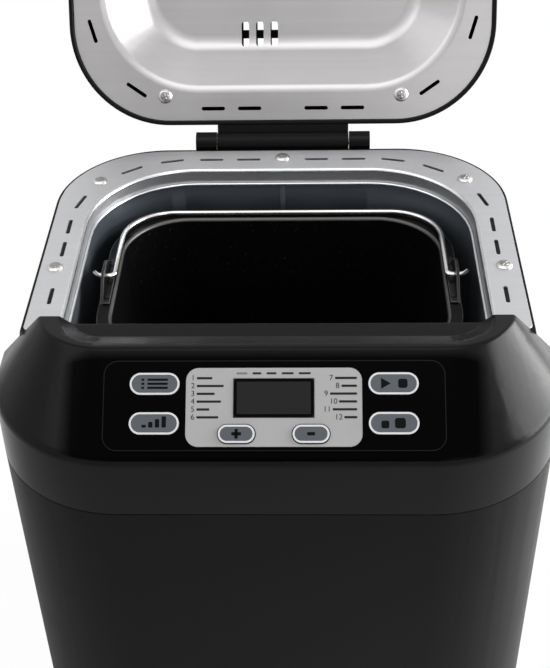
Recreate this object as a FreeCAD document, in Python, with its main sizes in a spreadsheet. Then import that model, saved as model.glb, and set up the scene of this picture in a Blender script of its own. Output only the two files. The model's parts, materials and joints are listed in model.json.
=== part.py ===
"""A countertop bread machine: casing, sloped control console, deck, oven, pan, drive and lid.

Millimetres, +Z up. Every piece is drawn with the pan's vertical axis at x = 0, y = 0 and the
standing plane at z = 0, and is then moved back by axis_y to the frame of the whole machine.
"""
import FreeCAD
import Part
import Sketcher
import math
import os
import re

SIZES = {
    # place of the pan's axis in the frame of the whole machine
    "axis_y": -30.2,
    # casing, measured from the pan's axis at the seam between the two housings
    "body_half": 118.0,
    "front_reach": 128.6,
    "rear_reach": 90.0,
    "front_corner": 55.0,
    "rear_corner": 50.0,
    "deck_height": 240.0,
    "seam_drop": 44.0,
    "draft": 3.0,
    "wall": 2.5,
    "foot_height": 9.0,
    "foot_radius": 10.0,
    "foot_inset": 32.0,
    "base_plate": 2.5,
    "boss_front": 60.0,
    "boss_rear": 45.0,
    "boss_height": 26.0,
    "base_screw_length": 18.0,
    "rear_vent_pitch": 9.0,
    "rear_vent_width": 4.0,
    "rear_vent_low": 92.0,
    "rear_vent_height": 46.0,
    "base_vent_first": 8.0,
    "base_vent_pitch": 11.0,
    "base_vent_width": 4.0,
    "base_vent_front": 112.0,
    "base_vent_length": 34.0,
    # cord entry
    "cord_x": 58.0,
    "cord_z": 34.0,
    "cord_bore": 3.6,
    "gland_radius": 7.0,
    "gland_flange": 9.5,
    "gland_flange_sheet": 2.4,
    # deck ring and the mouth of the oven
    "deck_half": 107.6,
    "deck_rear": 86.3,
    "deck_corner": 50.0,
    "deck_rim": 0.8,
    "deck_land": 17.0,
    "mouth_rear": 66.3,
    "mouth_front": 62.0,
    "mouth_corner": 48.0,
    "mouth_front_corner": 5.0,
    "sheet_metal": 0.8,
    "through_cut": 20.0,
    "collar_depth": 7.0,
    "slot_length": 12.0,
    "slot_width": 1.9,
    "slot_margin": 9.1,
    "slot_bend": 55.0,
    "slot_a": 17.0,
    "slot_b": 35.6,
    "slot_c": 55.4,
    "slot_d": 76.7,
    "slot_e": 113.9,
    "slot_f": 136.0,
    "slot_g": 154.8,
    "slot_i": 191.3,
    "screw_head": 3.6,
    "screw_rise": 1.5,
    "screw_shank": 1.5,
    "screw_length": 9.0,
    "fit_gap": 0.1,
    "loose_gap": 0.3,
    # console: hip-roofed block over the front, with a finger trough behind its ridge
    "break_drop": 16.0,
    "ridge_rise": 13.5,
    "ridge_reach": 94.0,
    "crest_half": 95.6,
    "crest_corner": 28.0,
    "ear_rise": 11.0,
    "console_back": 65.0,
    "back_lean": 0.34,
    "break_round": 6.0,
    "trough_rise": 5.5,
    "trough_reach": 76.3,
    "trough_half": 85.0,
    "trough_corner": 15.0,
    "trough_top_half": 91.0,
    "trough_top_reach": 93.0,
    "trough_top_corner": 20.0,
    # control panel, measured down the slope from the ridge
    "overlay_half": 67.2,
    "overlay_top": 4.8,
    "overlay_bottom": 41.2,
    "overlay_corner": 6.0,
    "overlay_sheet": 0.5,
    "label_half": 34.4,
    "label_top": 8.1,
    "label_bottom": 39.2,
    "label_corner": 5.0,
    "display_half": 15.7,
    "display_top": 12.4,
    "display_bottom": 27.7,
    "lens_sheet": 0.8,
    "key_length": 19.6,
    "key_width": 8.8,
    "key_offset": 46.6,
    "upper_row": 14.5,
    "lower_row": 30.1,
    "step_key_length": 14.4,
    "step_key_width": 7.2,
    "step_key_offset": 14.5,
    "step_row": 34.2,
    "key_proud": 1.3,
    "key_skirt": 3.0,
    "key_stem": 1.5,
    "board_depth": 12.4,
    "board_sheet": 1.6,
    "switch_side": 6.0,
    "switch_height": 4.0,
    # lid, drawn closed
    "lid_gap": 1.0,
    "lid_height": 40.0,
    "lid_front": 63.6,
    "lid_rear": 84.6,
    "lid_front_corner": 30.0,
    "lid_crown_inset": 12.0,
    "lid_band": 5.0,
    "lid_round": 14.0,
    "lid_wall": 2.0,
    "lid_open": 115.0,
    "liner_lift": 3.0,
    "liner_front_land": 18.0,
    "dish_depth": 18.0,
    "dish_run": 22.0,
    "dish_round": 13.0,
    "vent_pitch": 7.5,
    "vent_first": -19.5,
    "vent_y": 39.2,
    "vent_length": 13.2,
    "vent_width": 3.9,
    "lid_screw_x": 60.2,
    "lid_screw_rear": 70.0,
    "lid_screw_front": 54.0,
    # hinge
    "hinge_y": 93.6,
    "hinge_half": 33.4,
    "ear_width": 10.5,
    "ear_gap": 0.35,
    "knuckle_radius": 5.2,
    "pin_radius": 1.5,
    "pin_fit": 0.05,
    # bread pan
    "pan_clear": 14.8,
    "pan_reach": 54.0,
    "pan_corner": 30.0,
    "pan_rim_drop": 21.0,
    "pan_foot_height": 22.5,
    "pan_taper": 5.0,
    "pan_wall": 1.5,
    "pan_floor_round": 8.0,
    "rim_side": 5.5,
    "rim_end": 3.5,
    "tab_half": 18.0,
    "tab_rise": 9.0,
    "tab_top_half": 5.0,
    "tab_sheet": 1.5,
    "tab_foot": 1.0,
    "pivot_rise": 3.5,
    "pan_foot_radius": 36.0,
    "pan_foot_wall": 5.0,
    "bush_radius": 10.0,
    "bush_hang": 6.5,
    "bush_flange": 14.0,
    "bush_flange_sheet": 2.5,
    "paddle_gap": 3.3,
    "paddle_hub": 10.0,
    "paddle_hub_height": 19.0,
    "paddle_reach": 34.0,
    "paddle_sheet": 6.0,
    "wing_rise": 6.0,
    "wing_width": 7.2,
    "wing_length": 26.0,
    "wing_height": 8.0,
    "rivet_radius": 1.4,
    "rivet_rise": 0.5,
    "rivet_y": 13.0,
    # bail handle
    "wire_radius": 1.3,
    "bail_outset": 1.5,
    "bail_reach": 57.5,
    "bail_corner": 24.0,
    "bail_bend": 2.6,
    "bail_end": 6.6,
    "bail_hook": 4.6,
    "bail_hook_turn": 65.0,
    "bail_rest_gap": 0.3,
    # oven and chassis
    "chassis_top": 65.2,
    "chassis_sheet": 2.5,
    "chassis_half": 104.0,
    "chassis_front": 116.0,
    "chassis_rear": 76.0,
    "chassis_corner": 42.0,
    "post_radius": 6.0,
    "post_x": 88.0,
    "post_front": 78.0,
    "post_rear": 52.0,
    "socket_wall": 5.0,
    "socket_height": 12.0,
    "socket_floor": 2.0,
    "socket_slack": 0.6,
    "heater_radius": 3.2,
    "heater_clear": 8.6,
    "heater_reach": 57.5,
    "heater_corner": 30.0,
    "heater_rise": 18.0,
    "heater_leg": 12.0,
    "heater_bend": 8.0,
    "sensor_x": -40.0,
    "sensor_z": 112.0,
    "sensor_radius": 6.0,
    "sensor_flange": 9.0,
    "fuse_x": 28.0,
    "fuse_z": 113.0,
    "fuse_radius": 3.0,
    "fuse_length": 20.0,
    "fuse_holder_length": 26.0,
    "fuse_holder_height": 14.0,
    "fuse_holder_sheet": 1.2,
    "saddle_x": 40.0,
    "saddle_width": 8.0,
    "saddle_length": 10.0,
    # boards
    "power_left": 90.0,
    "power_front": 113.0,
    "power_length": 74.0,
    "power_width": 44.0,
    "pillar_height": 8.0,
    "pillar_radius": 3.0,
    "pillar_inset": 5.5,
    "transformer_length": 30.0,
    "transformer_width": 26.0,
    "transformer_height": 24.0,
    "relay_length": 19.0,
    "relay_width": 15.0,
    "can_radius": 6.0,
    "can_height": 22.0,
    "control_half": 70.0,
    "control_top": 5.0,
    "control_bottom": 41.0,
    "board_post_x": 62.0,
    "board_post_top": 9.0,
    "board_post_bottom": 38.0,
    "board_post_radius": 3.2,
    "board_pilot": 1.25,
    # drive train
    "drive_radius": 5.0,
    "bush_wall": 3.0,
    "housing_wall": 4.0,
    "pulley_bottom": 31.0,
    "pulley_width": 10.0,
    "large_pulley": 55.0,
    "small_pulley": 9.0,
    "belt_sheet": 2.0,
    "motor_inset": 72.0,
    "motor_y": -95.0,
    "motor_side": 54.0,
    "motor_height": 56.0,
    "motor_bell": 13.0,
    "motor_shaft": 4.0,
    "small_flange": 2.6,
    "capacitor_gap": 3.0,
    "capacitor_y": -82.0,
    "capacitor_radius": 14.0,
    "capacitor_height": 44.0,
    "pan_shaft": 4.0,
    "dog_radius": 14.5,
    "dog_rise": 0.6,
    "dog_sheet": 4.0,
    "dog_socket": 2.4,
    "lug_start": 5.2,
    "lug_sheet": 6.0,
    "lug_length": 14.0,
    "lug_height": 14.0,
    "bearing_radius": 12.2,
}

# sizes that follow from others, so that neighbours keep their clearances
DERIVED = {
    "mouth_half": "deck_half - deck_land",
    "pan_half": "mouth_half - pan_clear",
    "bail_half": "pan_half + bail_outset",
    "bail_straight": "pan_half + bail_end",
    "heater_half": "mouth_half - heater_clear",
    "motor_x": "body_half - motor_inset",
    "capacitor_x": "motor_x + motor_side / 2 + capacitor_gap + capacitor_radius",
}

doc = FreeCAD.newDocument("bread_machine")
sheet = doc.addObject("Spreadsheet::Sheet", "Sizes")
CELLS = {alias: str(number) for alias, number in SIZES.items()}
CELLS.update({alias: f"={formula}" for alias, formula in DERIVED.items()})
for row, (alias, content) in enumerate(CELLS.items(), start=1):
    sheet.set(f"A{row}", alias)
    sheet.set(f"B{row}", content)
    sheet.setAlias(f"B{row}", alias)
doc.recompute()

parts = []

# heights and reaches that several pieces share, in the sheet's own words
SEAM = "(deck_height - seam_drop)"
BREAK = "(deck_height - break_drop)"
RIDGE = "(deck_height + ridge_rise)"
HOUSING_FOOT = "(foot_height + base_plate)"
PLATE_UNDER = "(deck_height - sheet_metal)"
LEDGE_UNDER = "(deck_height - sheet_metal - wall)"
LID_FOOT = "(deck_height + lid_gap)"
LID_TOP = "(deck_height + lid_gap + lid_height)"
LINER = "(deck_height + liner_lift)"
PAN_RIM = "(deck_height - pan_rim_drop)"
OVEN_FLOOR = "(chassis_top + sheet_metal)"
SOCKET_FLOOR = "(chassis_top + sheet_metal + socket_floor)"
PAN_UNDER = f"({SOCKET_FLOOR} + pan_foot_height)"
PAN_FLOOR = f"({PAN_UNDER} + pan_wall)"
PAN_DEPTH = f"({PAN_RIM} - {PAN_FLOOR})"
PIVOT = "(deck_height - pan_rim_drop + pivot_rise)"
OVEN_GAP = "(sheet_metal + loose_gap)"
SLOPE = "atan((ridge_rise + break_drop) / (front_reach - ridge_reach))"
PULLEY_TOP = "(pulley_bottom + pulley_width)"
LID_SWING = ("hinge_y", "deck_height", "lid_open")
BAIL_DROP = "asin((pivot_rise - wire_radius - bail_rest_gap) / bail_reach)"


def words(text):
    """Spell an expression in the sheet's own words as one that any object can use."""
    return re.sub(r"[a-z_]+", lambda m: f"Sizes.{m[0]}" if m[0] in CELLS else m[0], str(text))


def size(text):
    """Give the number that an expression in the sheet's words stands for now."""
    found = sheet.evalExpression(words(text))
    return float(getattr(found, "Value", found))


def bind(obj, **properties):
    """Tie properties to expressions; a double underscore in a name stands for a dot."""
    for name, text in properties.items():
        obj.setExpression(name.replace("__", "."), words(text))


def place(obj, x="0", y="0", z="0"):
    """Tie an object's place to three expressions."""
    bind(obj, Placement__Base__x=x, Placement__Base__y=y, Placement__Base__z=z)
    return obj


def add(kind, name):
    """Make a document object."""
    return doc.addObject(kind, name)


def block(name, x, y, z, length, width, height):
    """A box with its lowest corner at x, y, z."""
    box = add("Part::Box", name)
    bind(box, Length=length, Width=width, Height=height)
    return place(box, x, y, z)


def rod(name, x, y, z, radius, height, axis="Z"):
    """A cylinder from x, y, z along an axis."""
    cylinder = add("Part::Cylinder", name)
    turns = {"X": ((0, 1, 0), 90), "Y": ((1, 0, 0), -90), "Z": ((0, 0, 1), 0)}
    vector, angle = turns[axis]
    cylinder.Placement.Rotation = FreeCAD.Rotation(FreeCAD.Vector(*vector), angle)
    bind(cylinder, Radius=radius, Height=height)
    return place(cylinder, x, y, z)


def fuse(name, *pieces):
    """Join pieces into one solid."""
    joined = add("Part::MultiFuse", name)
    joined.Shapes = list(pieces)
    joined.Refine = True
    return joined


def group(name, pieces):
    """Keep several separate solids as one sub-part."""
    compound = add("Part::Compound", name)
    compound.Links = list(pieces)
    return compound


def cut(name, base, *tools):
    """Take tools away from a base."""
    result = add("Part::Cut", name)
    result.Base = base
    result.Tool = tools[0] if len(tools) == 1 else group(name + "_tools", tools)
    return result


def common(name, first, second):
    """Keep what two solids share."""
    result = add("Part::Common", name)
    result.Base = first
    result.Tool = second
    return result


def tube(name, x, y, z, outer, inner, height, axis="Z"):
    """A hollow cylinder."""
    shell = rod(name + "_outer", x, y, z, outer, height, axis)
    return cut(name, shell, rod(name + "_bore", x, y, z, inner, height, axis))


def held(obj):
    """Wrap a bare primitive, so that it can be moved without losing its own place."""
    if obj.TypeId in ("Part::Box", "Part::Cylinder"):
        return group(obj.Name + "_held", [obj])
    return obj


def sub_part(obj, name, swing=None, panel=False):
    """Name a finished sub-part and move it to the machine's frame.

    A swing is the y and z of an axis along X, and the angle that the piece is turned back about it.
    """
    obj = held(obj)
    obj.Label = name
    if swing:
        y, z, angle = swing
        obj.Placement.Rotation = FreeCAD.Rotation(FreeCAD.Vector(-1, 0, 0), size(angle))
        bind(obj, Placement__Rotation__Angle=angle)
        place(
            obj,
            "0",
            f"axis_y + {y} - ({y}) * cos({angle}) - {z} * sin({angle})",
            f"{z} + ({y}) * sin({angle}) - {z} * cos({angle})",
        )
    elif panel:
        on_panel(obj, "axis_y - ridge_reach")
    else:
        place(obj, "0", "axis_y", "0")
    parts.append(obj)
    return obj


def on_panel(obj, y="-ridge_reach"):
    """Lay an object drawn flat on the slope: its +Y up the slope, its +Z out of the panel."""
    obj = held(obj)
    obj.Placement.Rotation = FreeCAD.Rotation(FreeCAD.Vector(1, 0, 0), size(SLOPE))
    bind(obj, Placement__Rotation__Angle=SLOPE)
    return place(obj, "0", y, RIDGE)


def body(name):
    """Make an empty body."""
    return add("PartDesign::Body", name)


def sketch(owner, name, plane="XY_Plane", offset="0"):
    """Make a sketch on one of a body's own planes, moved along the plane's normal."""
    made = owner.newObject("Sketcher::SketchObject", name)
    base = [f for f in owner.Origin.OriginFeatures if f.Role == plane][0]
    made.AttachmentSupport = [(base, "")]
    made.MapMode = "FlatFace"
    bind(made, AttachmentOffset__Base__z=offset)
    return made


def datum(made, kind, *where):
    """Add a dimension to a sketch and tie it to an expression, the last argument."""
    *places, text = where
    number = made.addConstraint(Sketcher.Constraint(kind, *places, size(text)))
    made.setExpression(f"Constraints[{number}]", words(text))


def outline(owner, name, offset, half, front, rear, front_corner, rear_corner):
    """Draw a rectangle with rounded corners: half its width, and its reach to front and rear."""
    made = sketch(owner, name, "XY_Plane", offset)
    w, f, r = size(half), -size(front), size(rear)
    a, b = size(front_corner), size(rear_corner)
    point = FreeCAD.Vector

    def corner(x, y, radius, start):
        circle = Part.Circle(point(x, y, 0), point(0, 0, 1), radius)
        return Part.ArcOfCircle(circle, math.radians(start), math.radians(start + 90))

    made.addGeometry(
        [
            Part.LineSegment(point(a - w, f, 0), point(w - a, f, 0)),
            corner(w - a, f + a, a, -90),
            Part.LineSegment(point(w, f + a, 0), point(w, r - b, 0)),
            corner(w - b, r - b, b, 0),
            Part.LineSegment(point(w - b, r, 0), point(b - w, r, 0)),
            corner(b - w, r - b, b, 90),
            Part.LineSegment(point(-w, r - b, 0), point(-w, f + a, 0)),
            corner(a - w, f + a, a, 180),
        ]
    )
    for edge in range(8):
        made.addConstraint(Sketcher.Constraint("Tangent", edge, 2, (edge + 1) % 8, 1))
    made.addConstraint(Sketcher.Constraint("Symmetric", 0, 1, 0, 2, -2))
    made.addConstraint(Sketcher.Constraint("Symmetric", 4, 1, 4, 2, -2))
    made.addConstraint(Sketcher.Constraint("Vertical", 2))
    made.addConstraint(Sketcher.Constraint("Vertical", 6))
    made.addConstraint(Sketcher.Constraint("Equal", 1, 7))
    datum(made, "Radius", 1, front_corner)
    datum(made, "Radius", 3, rear_corner)
    datum(made, "DistanceX", -1, 1, 2, 1, half)
    datum(made, "DistanceY", 0, 1, -1, 1, front)
    datum(made, "DistanceY", -1, 1, 4, 1, rear)
    return made


def polygon(owner, name, corners, plane="XY_Plane", offset="0"):
    """Draw a closed polygon through corners given as pairs of expressions."""
    made = sketch(owner, name, plane, offset)
    points = [FreeCAD.Vector(size(x), size(y), 0) for x, y in corners]
    count = len(points)
    for n in range(count):
        made.addGeometry(Part.LineSegment(points[n], points[(n + 1) % count]))
    for n in range(count):
        made.addConstraint(Sketcher.Constraint("Coincident", n, 2, (n + 1) % count, 1))
    for n, (x, y) in enumerate(corners):
        datum(made, "DistanceX", -1, 1, n, 1, x)
        datum(made, "DistanceY", -1, 1, n, 1, y)
    return made


def pad(owner, profile, length, midplane=False, kind="PartDesign::Pad"):
    """Pad or pocket a sketch."""
    feature = owner.newObject(kind, f"{owner.Name}_{profile.Name}_solid")
    feature.Profile = profile
    if midplane:
        feature.SideType = "Symmetric"
    bind(feature, Length=length)
    return feature


def pocket(owner, profile, length):
    """Cut a sketch upward from its plane, and see that something was cut."""
    doc.recompute()
    before = owner.Shape.Volume
    feature = pad(owner, profile, length, kind="PartDesign::Pocket")
    feature.Reversed = True
    doc.recompute()
    if owner.Shape.Volume >= before:
        raise RuntimeError(f"{profile.Name} cuts nothing")
    return feature


def tapered(owner, profile, length, lean):
    """Pad a sketch upward with sides that lean in, or out when the lean is negative."""
    feature = pad(owner, profile, length)
    bind(feature, TaperAngle=f"-1 * {lean}")
    return feature


def loft(owner, *profiles, kind="PartDesign::AdditiveLoft"):
    """Join sketches with straight ruled sides."""
    feature = owner.newObject(kind, f"{owner.Name}_{profiles[0].Name}_loft")
    feature.Profile = profiles[0]
    feature.Sections = list(profiles[1:])
    feature.Ruled = True
    return feature


def rounded(owner, radius, chosen):
    """Round the edges of a body's last solid that a test picks."""
    doc.recompute()
    tip = owner.Tip
    names = [f"Edge{n}" for n, edge in enumerate(tip.Shape.Edges, start=1) if chosen(edge)]
    if not names:
        raise RuntimeError(f"{owner.Name} has no edge to round")
    feature = owner.newObject("PartDesign::Fillet", owner.Name + "_round")
    feature.Base = (tip, names)
    bind(feature, Radius=radius)
    return feature


def level(height):
    """A test for edges that lie flat at one height."""
    z = size(height)
    return lambda edge: abs(edge.BoundBox.ZMin - z) < 0.01 and abs(edge.BoundBox.ZMax - z) < 0.01


# casing


def casing_outline(owner, name, offset, inset):
    """The casing's plan at the seam, drawn in by an inset."""
    return outline(
        owner,
        name,
        offset,
        f"body_half - {inset}",
        f"front_reach - {inset}",
        f"rear_reach - {inset}",
        f"front_corner - {inset}",
        f"rear_corner - {inset}",
    )


def deck_outline(owner, name, offset, inset, front="front_reach", front_corner="front_corner"):
    """The plan of the casing's upper edge, drawn in by an inset."""
    return outline(
        owner,
        name,
        offset,
        f"deck_half - {inset}",
        front,
        f"deck_rear - {inset}",
        front_corner,
        f"deck_corner - {inset}",
    )


def mouth_outline(owner, name, offset, outset):
    """The plan of the oven's mouth, moved out by an outset."""
    return outline(
        owner,
        name,
        offset,
        f"mouth_half + {outset}",
        f"mouth_front + {outset}",
        f"mouth_rear + {outset}",
        f"mouth_front_corner + {outset}",
        f"mouth_corner + {outset}",
    )


def lower_housing():
    """The tapering tub below the seam, with screw bosses, vents and the cord's hole."""
    shell = body("lower_shell")
    foot = casing_outline(shell, "lower_foot", HOUSING_FOOT, "draft")
    top = casing_outline(shell, "lower_top", SEAM, "0")
    loft(shell, foot, top)
    foot_in = casing_outline(shell, "lower_foot_in", HOUSING_FOOT, "(draft + wall)")
    top_in = casing_outline(shell, "lower_top_in", SEAM, "wall")
    loft(shell, foot_in, top_in, kind="PartDesign::SubtractiveLoft")
    bosses = []
    for n, (x, y) in enumerate(boss_places()):
        bosses.append(
            tube(f"base_boss_{n}", x, y, HOUSING_FOOT, "2 * wall", "screw_shank + fit_gap", "boss_height")
        )
    vents = []
    for n in range(-4, 5):
        vents.append(
            block(
                f"rear_vent_{n + 4}",
                f"{n} * rear_vent_pitch - rear_vent_width / 2",
                "rear_reach - draft - wall - 2.5",
                "rear_vent_low",
                "rear_vent_width",
                "16",
                "rear_vent_height",
            )
        )
    hole = rod("cord_hole", "cord_x", "rear_reach - through_cut / 2", "cord_z", "gland_radius + fit_gap",
               "through_cut", "Y")
    tub = cut("lower_tub", fuse("lower_joined", shell, *bosses), hole, *vents)
    sub_part(tub, "lower_housing")


def boss_places():
    """Where the base's screws go: beside the two long walls."""
    side = "(body_half - draft - wall - 4)"
    return [(f"{sign} * {side}", y) for sign in (-1, 1) for y in ("-boss_front", "boss_rear")]


def back_profile(owner, name, shift, roof):
    """The console seen from the side: leaning back, crest falling to the ears, open in front."""
    back = f"(console_back + {shift})"
    low = "(deck_height - seam_drop - 6)"
    far = "(front_reach + 12)"
    fall = "((ridge_rise - ear_rise) / (ridge_reach - console_back - back_lean * ear_rise))"
    crown = f"(deck_height + ridge_rise - {roof})"
    ear_y = f"({back} + back_lean * (ear_rise - {roof}))"
    corners = [
        (f"-{far}", low),
        (f"-({back} + back_lean * ({low} - deck_height))", low),
        (f"-{ear_y}", f"{crown} + ({ear_y} - ridge_reach) * {fall}"),
        (f"-{far}", f"{crown} + ({far} - ridge_reach) * {fall}"),
    ]
    return polygon(owner, name, corners, "YZ_Plane")


def console_block(name, inset, shift, roof):
    """The console's solid: upright wall, hip roof, leaning back."""
    shell = body(name)
    top_inset = f"(1.5 * {inset})"
    foot = casing_outline(shell, name + "_foot", SEAM, inset)
    pad(shell, foot, f"{BREAK} - {SEAM}")
    lip = casing_outline(shell, name + "_lip", BREAK, inset)
    crest = outline(
        shell,
        name + "_crest",
        RIDGE,
        f"crest_half - {top_inset}",
        f"ridge_reach - {top_inset}",
        "rear_reach - 30",
        "crest_corner",
        "rear_corner - 30",
    )
    loft(shell, lip, crest)
    if inset == "0":
        rounded(shell, "break_round", level(BREAK))
    side = body(name + "_side")
    pad(side, back_profile(side, name + "_profile", shift, roof), "3 * body_half", midplane=True)
    return common(name + "_trimmed", shell, side)


def trough_block(name, outset):
    """The finger trough behind the ridge, grown by an outset."""
    tool = body(name)
    floor = outline(
        tool,
        name + "_floor",
        f"deck_height + trough_rise - {outset}",
        f"trough_half + {outset}",
        f"trough_reach + {outset}",
        "rear_reach",
        f"trough_corner + {outset}",
        "rear_corner",
    )
    mouth = outline(
        tool,
        name + "_mouth",
        f"{RIDGE} + 1",
        f"trough_top_half + {outset}",
        f"trough_top_reach + {outset}",
        "rear_reach",
        f"trough_top_corner + {outset}",
        "rear_corner",
    )
    loft(tool, floor, mouth)
    return tool


def shoulder_block(name, inset, top):
    """The casing behind the console, closing in from the seam to the deck."""
    shell = body(name)
    foot = casing_outline(shell, name + "_foot", SEAM, inset)
    edge = deck_outline(shell, name + "_edge", top, inset)
    loft(shell, foot, edge)
    front = body(name + "_front")
    far = "(front_reach + 12)"
    low = "(deck_height - seam_drop - 6)"
    high = "(deck_height + 6)"
    corners = [
        (f"-{far}", low),
        (f"-(console_back + back_lean * ({low} - deck_height))", low),
        (f"-(console_back + back_lean * ({high} - deck_height))", high),
        (f"-{far}", high),
    ]
    pad(front, polygon(front, name + "_plane", corners, "YZ_Plane"), "3 * body_half", midplane=True)
    return cut(name + "_trimmed", shell, front)


def upper_housing():
    """The casing above the seam: shoulders round the deck, console, hinge ears and bosses."""
    console = cut("console_outer", console_block("console", "0", "0", "0"), trough_block("trough", "0"))
    shoulder = shoulder_block("shoulder", "0", "deck_height")
    room = cut(
        "console_room",
        console_block("console_in", "wall", "wall", "wall"),
        trough_block("trough_skin", "wall"),
    )
    shoulder_room = shoulder_block("shoulder_in", "wall", LEDGE_UNDER)
    passage = block(
        "oven_passage",
        "-(mouth_half + 5)",
        "-(console_back + 14)",
        f"{SEAM} - 1",
        "2 * (mouth_half + 5)",
        "40",
        "seam_drop - 1",
    )
    rebate = body("deck_rebate")
    edge = deck_outline(rebate, "rebate_edge", PLATE_UNDER, "deck_rim", "console_back - 0.3", "2")
    pad(rebate, edge, "5")
    throat = body("deck_throat")
    pad(throat, mouth_outline(throat, "throat_edge", f"{LEDGE_UNDER} - 3", "3.4"), "9")
    throat_front = block(
        "throat_limit", "-body_half", "-console_back + 0.4", f"{LEDGE_UNDER} - 4",
        "2 * body_half", "4 * console_back", "12",
    )
    throat_cut = common("throat_trimmed", throat, throat_front)
    extras = deck_bosses() + hinge_ears() + board_posts()
    whole = fuse("upper_outer", console, shoulder)
    hollow = cut("upper_hollow", whole, room, shoulder_room, passage, rebate, throat_cut)
    joined = fuse("upper_joined", hollow, *extras)
    holes = panel_holes() + deck_screw_holes() + board_screw_holes()
    sub_part(cut("upper_case", joined, *holes, pin_hole("ear_pin_hole", "pin_radius")), "upper_housing")


def deck_screw_places():
    """Rear middle, rear corners and middle of each side of the deck ring."""
    side = "(deck_half - 7.6)"
    corner = ("deck_half - 18.2", "deck_rear - 30")
    return [
        ("0", "deck_rear - 8.3"),
        (corner[0], corner[1]),
        (f"-({corner[0]})", corner[1]),
        (side, "-18"),
        (f"-{side}", "-18"),
    ]


def deck_bosses():
    """Bosses under the ledge that take the deck's screws."""
    return [
        rod(f"deck_boss_{n}", x, y, f"{LEDGE_UNDER} - 9", "2.6 * screw_shank", "9.5")
        for n, (x, y) in enumerate(deck_screw_places())
    ]


def deck_screw_holes():
    """Pilot holes through the ledge and its bosses."""
    return [
        rod(f"deck_pilot_{n}", x, y, f"{LEDGE_UNDER} - 8", "screw_shank + fit_gap", "20")
        for n, (x, y) in enumerate(deck_screw_places())
    ]


def hinge_ears():
    """Two ears behind the deck that hold the hinge pins."""
    ears = []
    inner = "(hinge_half + ear_gap)"
    for n, x in enumerate((inner, f"-({inner} + ear_width)")):
        ears.append(
            block(f"ear_web_{n}", x, "deck_rear - 3", "deck_height - 14", "ear_width",
                  "hinge_y + knuckle_radius + 0.3 - deck_rear + 3", "12.8")
        )
        ears.append(
            rod(f"ear_eye_{n}", x, "hinge_y", "deck_height", "knuckle_radius + 0.3", "ear_width", "X")
        )
    return ears


def pin_hole(name, radius):
    """A bore along the hinge's whole axis."""
    return rod(name, "-(hinge_half + 20)", "hinge_y", "deck_height", radius, "2 * hinge_half + 40", "X")


def pill(name, length, width, low, high, x="0", y="0"):
    """A flat bar with round ends, lying along X."""
    run = f"({length} - {width})"
    half = f"({width} / 2)"
    height = f"({high} - ({low}))"
    middle = block(name + "_bar", f"{x} - {run} / 2", f"{y} - {half}", low, run, f"2 * {half}", height)
    ends = [rod(f"{name}_end_{n}", f"{x} {sign} {run} / 2", y, low, half, height)
            for n, sign in enumerate("+-")]
    return fuse(name, middle, *ends)


def key_places():
    """Each button's name, length, width, place across and place down the slope."""
    big = ("key_length", "key_width")
    small = ("step_key_length", "step_key_width")
    return {
        "menu_button": (*big, "-key_offset", "-upper_row"),
        "crust_button": (*big, "-key_offset", "-lower_row"),
        "start_stop_button": (*big, "key_offset", "-upper_row"),
        "weight_button": (*big, "key_offset", "-lower_row"),
        "plus_button": (*small, "-step_key_offset", "-step_row"),
        "minus_button": (*small, "step_key_offset", "-step_row"),
    }


def key_hole_tools(prefix, low, high, slack):
    """Pill-shaped cutters, one for each button."""
    return [
        pill(f"{prefix}_{name}", f"({length} + 2 * {slack})", f"({width} + 2 * {slack})", low, high, x, y)
        for name, (length, width, x, y) in key_places().items()
    ]


def display_tool(name, low, high, slack):
    """A cutter for the display's window."""
    return block(
        name,
        f"-(display_half + {slack})",
        f"-(display_bottom + {slack})",
        low,
        f"2 * (display_half + {slack})",
        f"display_bottom - display_top + 2 * {slack}",
        f"{high} - ({low})",
    )


def panel_holes():
    """Openings in the console's slope for the buttons and the display."""
    tools = key_hole_tools("case_hole", "-8", "4", "loose_gap")
    tools.append(display_tool("case_window", "-8", "4", "-1"))
    return [on_panel(tool) for tool in tools]


def board_post_places():
    """The four posts that carry the control board."""
    rows = ("-board_post_top", "-board_post_bottom")
    return [(x, y) for x in ("-board_post_x", "board_post_x") for y in rows]


def board_posts():
    """Posts that hang from the slope to the control board."""
    return [
        on_panel(rod(f"board_post_{n}", x, y, "-board_depth", "board_post_radius", "board_depth - 1"))
        for n, (x, y) in enumerate(board_post_places())
    ]


def board_screw_holes():
    """Pilot holes in the posts."""
    return [
        on_panel(rod(f"board_pilot_{n}", x, y, "-board_depth - 1", "board_pilot", "7"))
        for n, (x, y) in enumerate(board_post_places())
    ]


def slot_places(letters="abcdefgi"):
    """Middle and heading of each slot on the ring's middle line, from the rear outward."""
    half = size("deck_half - slot_margin")
    rear = size("deck_rear - slot_margin - deck_rim")
    radius = size("slot_bend")
    straight = half - radius
    bend = radius * math.pi / 2
    found = []
    for letter in letters:
        run = size(f"slot_{letter}")
        if run <= straight:
            found.append((run, rear, 0.0))
        elif run <= straight + bend:
            turn = (run - straight) / radius
            x = straight + radius * math.sin(turn)
            y = rear - radius + radius * math.cos(turn)
            found.append((x, y, -turn))
        else:
            found.append((half, rear - radius - (run - straight - bend), -math.pi / 2))
    return found + [(-x, y, -turn) for x, y, turn in found]


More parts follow.
